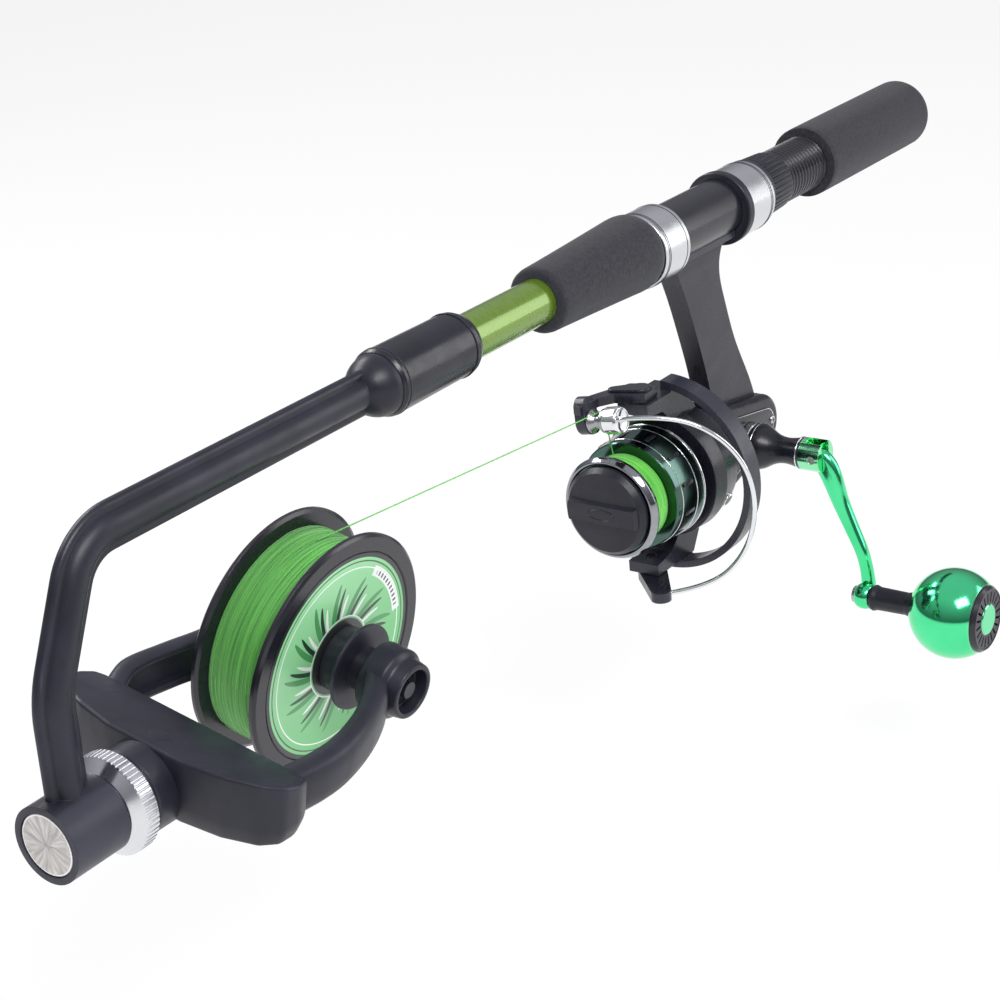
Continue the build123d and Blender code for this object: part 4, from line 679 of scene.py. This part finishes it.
def make_yoke():
    """The yoke's bar with its sloped top and collar, its two arms and their hubs."""
    bar_back, bar_middle = -461.0, -474.0
    slope_length, slope_rise = 20.0, 6.8
    half_bar = [(bar_back, 40.5), (-462.5, 45.0), (-468.0, 47.0), (-475.0, 46.6), (-480.5, 42.0), (-485.5, 30.0),
                (-488.0, 15.0)]
    outline = half_bar + [(x, -y) for x, y in reversed(half_bar)]
    bm = bmesh.new()
    rings = []
    for drawn, level in ((0.90, -9.0), (1.0, -3.0), (1.0, 9.0)):
        ring = []
        for x, y in outline:
            up = level + (slope_rise * min(1.0, (bar_back - x) / slope_length) if level > 0 else 0)
            drawn_x = bar_middle + (x - bar_middle) * drawn
            ring.append(bm.verts.new(yoke_point(drawn_x, y * (1 - (1 - drawn) * 0.4), up)))
        rings.append(ring)
    for first, second in zip(rings, rings[1:]):
        for n in range(len(outline)):
            after = (n + 1) % len(outline)
            bm.faces.new((first[n], first[after], second[after], second[n]))
    bm.faces.new(rings[0])
    bm.faces.new(rings[-1])
    bmesh.ops.recalc_face_normals(bm, faces=bm.faces)
    bmesh.ops.bevel(bm, geom=bm.edges[:], offset=1.6 * MM, segments=4, affect="EDGES", profile=0.5,
                    clamp_overlap=True)
    bar = finish_mesh("yoke_bar_body", bm, BLACK_SATIN, 30)
    collar_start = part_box("swivel_knob")[1][0] / MM + 0.3
    collar = [(collar_start, 4.1), (collar_start, 14.4), (collar_start + 0.6, 14.9), (-486.0, 15.1), (-480.0, 15.1),
              (-476.0, 13.0), (-476.0, 4.1)]
    bar_collar = lathe("yoke_bar_collar", collar, YOKE_ORIGIN, X_AXIS, BLACK_SATIN, 96)
    for piece in (bar, bar_collar):
        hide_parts("yoke_bar")
        seat(piece, "yoke")
    yoke_arm("yoke_arm_near_body",
             [(-463.0, -41.2), (-449.0, -43.0), (-436.0, -42.5), (-420.0, -38.5), (-406.0, -32.5), (-399.6, -27.8)],
             [(-463.0, -32.3), (-449.0, -34.5), (-437.0, -34.5), (-422.0, -31.0), (-410.0, -25.0), (-399.6, -18.2)],
             "yoke_arm_near")
    yoke_arm("yoke_arm_far_body",
             [(-463.0, 41.0), (-450.0, 46.0), (-434.0, 43.5), (-419.0, 40.0), (-406.0, 38.7), (-399.6, 38.5)],
             [(-463.0, 32.0), (-450.0, 37.5), (-434.0, 35.5), (-419.0, 32.0), (-406.0, 31.5), (-399.6, 31.4)],
             "yoke_arm_far")
    barrel_bore, stem_bore = 7.94, 3.05
    near_hub = [(-17.0, barrel_bore), (-17.0, 12.5), (-25.8, 12.5), (-27.6, 10.6), (-32.4, 9.8),
                (-32.4, barrel_bore), (-27.0, barrel_bore), (-27.0, stem_bore), (-25.0, stem_bore),
                (-25.0, barrel_bore)]
    far_hub = [(31.0, 4.9), (31.0, 12.5), (39.0, 12.5), (39.0, 4.9)]
    for name, profile, node in (("yoke_hub_near", near_hub, "yoke_arm_near"),
                                ("yoke_hub_far", far_hub, "yoke_arm_far")):
        hub = lathe(name, rounded(profile, 0.7, 4), SUPPLY_CENTRE, SUPPLY_AXIS, BLACK_SATIN, 96)
        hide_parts(node)
        seat(hub, "yoke")


def make_crank_arm():
    """The forged crank arm: a rounded bar that tapers and turns down to the eye of the knob's spindle."""
    stations = [(-40.2, -104.2, 2.0, 2.0), (-41.0, -104.4, 3.4, 2.7), (-44.0, -105.0, 4.6, 2.85),
                (-47.2, -108.6, 4.9, 2.85), (-49.6, -114.0, 4.5, 2.9), (-53.0, -123.5, 3.6, 2.9),
                (-57.6, -134.0, 3.0, 2.8), (-62.0, -144.0, 2.7, 2.7), (-64.0, -151.5, 2.6, 2.7),
                (-64.8, -158.0, 2.8, 2.8), (-65.0, -163.0, 3.0, 2.8)]
    corners = 28
    squareness = 0.75
    path = smooth([Vector(p[:2]) for p in stations], 6)
    sizes = smooth([Vector(p[2:]) for p in stations], 6)
    sections = []
    for n, (spot, size) in enumerate(zip(path, sizes)):
        along = (path[min(n + 1, len(path) - 1)] - path[max(n - 1, 0)]).normalized()
        side = Vector((along.y, -along.x))
        section = []
        for k in range(corners):
            t = math.tau * k / corners
            a = math.copysign(abs(math.cos(t)) ** squareness, math.cos(t)) * size.x
            b = math.copysign(abs(math.sin(t)) ** squareness, math.sin(t)) * size.y
            section.append(Vector((-125.0 + b, spot.x + side.x * a, spot.y + side.y * a)) * MM)
        sections.append(section)
    arm = loft("crank_arm_forged", sections, GREEN_MIRROR, 60)
    eye_profile = [(-68.5, 2.55), (-68.5, 4.2), (-67.6, 5.1), (-66.2, 5.6), (-64.0, 5.6), (-62.4, 5.0), (-61.5, 4.0),
                   (-61.5, 2.55)]
    knob_axis_point = Vector((-129.0, 0, -163.0)) * MM
    eye = lathe("crank_eye", rounded(eye_profile, 0.8, 4), knob_axis_point, Y_AXIS, GREEN_MIRROR, 64, 50)
    for piece in (arm, eye):
        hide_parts("crank_arm")
        seat(piece, "arm")


def make_bail():
    """The bail's wire in one smooth bend, and the polished barrel that leads the line to the roller."""
    route = [(-213.0, -2.2, -62.6), (-209.0, -9.5, -61.5), (-198.0, -29.0, -64.5), (-188.0, -43.5, -80.5),
             (-185.5, -48.0, -102.5), (-188.0, -43.0, -123.5), (-197.0, -31.0, -136.5), (-207.6, -15.3, -138.1)]
    wire = bent_wire("bail_wire_bent", [Vector(point) * MM for point in route], 1.05 * MM, CHROME, 5, 20)
    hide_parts("bail_wire")
    barrel = [(8.6, 0.0), (8.6, 1.5), (-3.9, 1.5), (-3.9, 5.5), (-9.9, 5.6), (-10.7, 4.9), (-10.1, 4.2), (-9.4, 0.0)]
    dome = lathe("guide_barrel", rounded(barrel, 0.45, 5), ROLLER_SPOT, ROLLER_ALONG, CHROME, 72)
    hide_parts("guide_dome")
    for piece in (wire, dome):
        seat(piece, "bail")


# ---------------------------------------------------------------- trim
def ring_points(centre, u, v, radius, count=72):
    """Points of a circle, or of an ellipse where radius is a pair, in millimetres."""
    a, b = radius if isinstance(radius, tuple) else (radius, radius)
    return [centre + (u * a * math.cos(t) + v * b * math.sin(t)) * MM
            for t in (math.tau * n / count for n in range(count))]


def hoop(name, centre, u, v, radius, wire, material):
    """A thin round wire bent into a circle or an ellipse, in millimetres."""
    return tube(name, ring_points(centre, u, v, radius), wire * MM, material, 8, True)


def handle_trim():
    """Turned grooves in the hoods, the sleeve's rings and the gearbox's side panel."""
    low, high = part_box("front_hood")
    for n, x in enumerate((low[0] / MM + 2.2, low[0] / MM + 3.2, high[0] / MM - 2.4)):
        groove = hoop(f"front_hood_groove_{n}", Vector((x, 0, -1.0)) * MM, Y_AXIS, Z_AXIS, 15.2, 0.16, BLACK_FINE)
        seat(groove, "handle")
    rear_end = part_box("rear_hood")[1][0] / MM
    for n, x in enumerate((rear_end - 2.2, rear_end - 3.2)):
        groove = hoop(f"rear_hood_groove_{n}", Vector((x, 0, -1.0)) * MM, Y_AXIS, Z_AXIS, 14.9, 0.16, BLACK_FINE)
        seat(groove, "hood")
    low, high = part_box("arm_sleeve")
    for n, (x, radius) in enumerate(((low[0] / MM + 3.0, 12.15), (high[0] / MM - 4.4, 12.05))):
        band = hoop(f"sleeve_ring_{n}", Vector((x, 0, 0)) * MM, Y_AXIS, Z_AXIS, radius, 0.3, BLACK_SATIN)
        seat(band, "handle")
    hull = []
    for x, z, radius, first, last in ((-139.0, -100.5, 12.6, 84, 277), (-110.0, -99.5, 6.6, -83, 84)):
        for step in range(17):
            t = math.radians(first + (last - first) * step / 16)
            hull.append((x + radius * math.cos(t), z + radius * math.sin(t)))
    panel = prism("gearbox_panel", hull, Vector((0, -9.5, 0)) * MM, X_AXIS, Z_AXIS, 0.55, BLACK_GLOSS, 0.25)
    seat(panel, "handle")
    line = tube("gearbox_pinstripe", [Vector((x, -10.05, z)) * MM for x, z in hull], 0.22 * MM, CHROME, 8, True)
    seat(line, "handle")
    for n, (x, z) in enumerate(((-148.5, -93.0), (-147.5, -108.5), (-104.5, -99.5))):
        centre = Vector((x, -10.0, z)) * MM
        head_profile = rounded([(0, 0), (0.7, 0), (0.7, 1.5), (0.2, 1.9), (0, 1.9)], 0.25, 4)
        head = lathe(f"near_screw_{n}", head_profile, centre, -Y_AXIS, STEEL, 32)
        seat(head, "handle")
        for k, (w, h) in enumerate(((2.2, 0.5), (0.5, 2.2))):
            outline = [(-w / 2, -h / 2), (w / 2, -h / 2), (w / 2, h / 2), (-w / 2, h / 2)]
            slot = prism(f"near_screw_slot_{n}_{k}", outline, centre - Y_AXIS * 0.66 * MM, X_AXIS, Z_AXIS, 0.06,
                         BLACK_FINE)
            seat(slot, "handle")


def reel_trim():
    """The skirt's edge, lines and pockets, the spool's lip, the drag knob's oval, the rotor's button, stem rings."""
    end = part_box("reel_spool")[1][0] / MM
    edge_profile = [(end - 1.1, 24.1), (end + 0.05, 24.15), (end + 0.05, 24.55), (end - 1.1, 24.5)]
    edge = lathe("skirt_edge", rounded(edge_profile, 0.15, 3), REEL_AXIS_POINT, X_AXIS, CHROME, 128)
    seat(edge, "spool")
    for n, (x, r) in enumerate(((end - 15.4, 23.22), (end - 5.4, 23.98))):
        step_ring = hoop(f"skirt_line_{n}", REEL_AXIS_POINT + X_AXIS * x * MM, Y_AXIS, Z_AXIS, r, 0.2, CHROME)
        seat(step_ring, "spool")
    pocket_count = 12
    for n in range(pocket_count):
        t = math.tau * (n + 0.5) / pocket_count
        out = Y_AXIS * math.cos(t) + Z_AXIS * math.sin(t)
        along = X_AXIS.cross(out)
        outline = [(math.cos(a) * 0.95 + (2.6 if math.cos(a) > 0 else -2.6), math.sin(a) * 0.95)
                   for a in (math.tau * k / 20 for k in range(20))]
        centre = REEL_AXIS_POINT + X_AXIS * (end - 10.4) * MM + out * 23.5 * MM
        pocket = prism(f"skirt_pocket_{n}", outline, centre, X_AXIS, -along, 0.38, BLACK_GLOSS, 0.12)
        seat(pocket, "spool")
    lip_profile = [(-219.7, 18.9), (-220.8, 19.4), (-220.9, 20.4), (-218.6, 21.8), (-216.4, 21.2),
                   (-216.4, 20.5), (-219.65, 20.5)]
    lip = lathe("spool_lip_ring", rounded(lip_profile, 0.5, 4), REEL_AXIS_POINT, X_AXIS, GUN_CHROME, 160)
    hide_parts("spool_lip")
    seat(lip, "spool")
    oval = hoop("drag_oval", Vector((-227.0, 0, -98.5)) * MM, Y_AXIS, Z_AXIS, (6.2, 2.2), 0.3, BLACK_GLOSS)
    seat(oval, "drag")
    button_angle = 0.5
    out = (-Y_AXIS * math.cos(button_angle) - Z_AXIS * math.sin(button_angle)).normalized()
    centre = REEL_AXIS_POINT + X_AXIS * -167.0 * MM + out * 25.2 * MM
    button_profile = rounded([(0, 0), (1.6, 0), (1.6, 2.2), (0, 2.4)], 0.3, 4)
    bezel_profile = rounded([(0, 2.3), (1.5, 2.3), (1.5, 3.3), (0, 3.5)], 0.3, 4)
    button = lathe("rotor_button", button_profile, centre, out, BLACK_GLOSS, 48)
    bezel = lathe("rotor_button_ring", bezel_profile, centre, out, CHROME, 48)
    for piece, slot in ((button, "black_gloss"), (bezel, "bright_chrome")):
        seat(piece, "rotor")
    for n, (y, r) in enumerate(((-15.2, 9.72), (-35.4, 6.75))):
        stem_ring = hoop(f"stem_ring_{n}", CRANK_AXIS_POINT + Y_AXIS * y * MM, X_AXIS, Z_AXIS, r, 0.35, CHROME)
        seat(stem_ring, "crank")


# ---------------------------------------------------------------- stage
def make_stage():
    """Pale floor, world light with a soft gradient, and three soft lamps."""
    floor_z = cad_box[0][2] - 0.06
    bm = bmesh.new()
    bmesh.ops.create_grid(bm, x_segments=1, y_segments=1, size=12.0)
    bmesh.ops.translate(bm, verts=bm.verts, vec=(0, 0, floor_z))
    mesh = bpy.data.meshes.new("floor")
    bm.to_mesh(mesh)
    bm.free()
    link("floor", mesh, floor_material())
    world = bpy.data.worlds.new("world")
    bpy.context.scene.world = world
    world.use_nodes = True
    tree = world.node_tree
    sky = tree.nodes["Background"]
    place = tree.nodes.new("ShaderNodeTexCoord")
    parts = tree.nodes.new("ShaderNodeSeparateXYZ")
    tree.links.new(place.outputs["Generated"], parts.inputs[0])
    ramp = tree.nodes.new("ShaderNodeValToRGB")
    ramp.color_ramp.elements[0].position = 0.5
    ramp.color_ramp.elements[0].color = (0.12, 0.12, 0.14, 1)
    ramp.color_ramp.elements[1].position = 0.9
    ramp.color_ramp.elements[1].color = (0.62, 0.62, 0.66, 1)
    height = tree.nodes.new("ShaderNodeMath")
    height.operation = "MULTIPLY_ADD"
    height.inputs[1].default_value = 0.5
    height.inputs[2].default_value = 0.5
    tree.links.new(parts.outputs[2], height.inputs[0])
    tree.links.new(height.outputs[0], ramp.inputs[0])
    path = tree.nodes.new("ShaderNodeLightPath")
    choose = tree.nodes.new("ShaderNodeMix")
    choose.data_type = "RGBA"
    tree.links.new(path.outputs["Is Camera Ray"], choose.inputs[0])
    tree.links.new(ramp.outputs[0], choose.inputs[6])
    choose.inputs[7].default_value = (1, 1, 1, 1)
    tree.links.new(choose.outputs[2], sky.inputs[0])
    sky.inputs[1].default_value = 1.0
    lamps = (("key", (-0.75, -0.9, 1.0), (0.8, 0.5), 15.0), ("fill", (0.7, -1.0, 0.35), (0.7, 0.9), 6.0),
             ("rim", (-0.3, 1.1, 0.9), (1.2, 0.35), 12.0))
    for name, spot, size, watts in lamps:
        data = bpy.data.lights.new(name, "AREA")
        data.shape = "RECTANGLE"
        data.size, data.size_y = size
        data.energy = watts
        lamp = bpy.data.objects.new(name, data)
        bpy.context.scene.collection.objects.link(lamp)
        lamp.location = spot
        aim = Vector((-0.25, 0, -0.07)) - Vector(spot)
        lamp.rotation_euler = aim.to_track_quat("-Z", "Y").to_euler()


# ---------------------------------------------------------------- build
place_camera()
make_line()
for node_name, node_material in NODE_MATERIALS.items():
    shown = nodes[node_name]
    shown.data.materials.clear()
    shown.data.materials.append(node_material)
make_grips()
make_windings()
make_yoke()
make_crank_arm()
make_bail()
handle_trim()
reel_trim()
make_stage()
bpy.context.scene.view_settings.view_transform = "Standard"
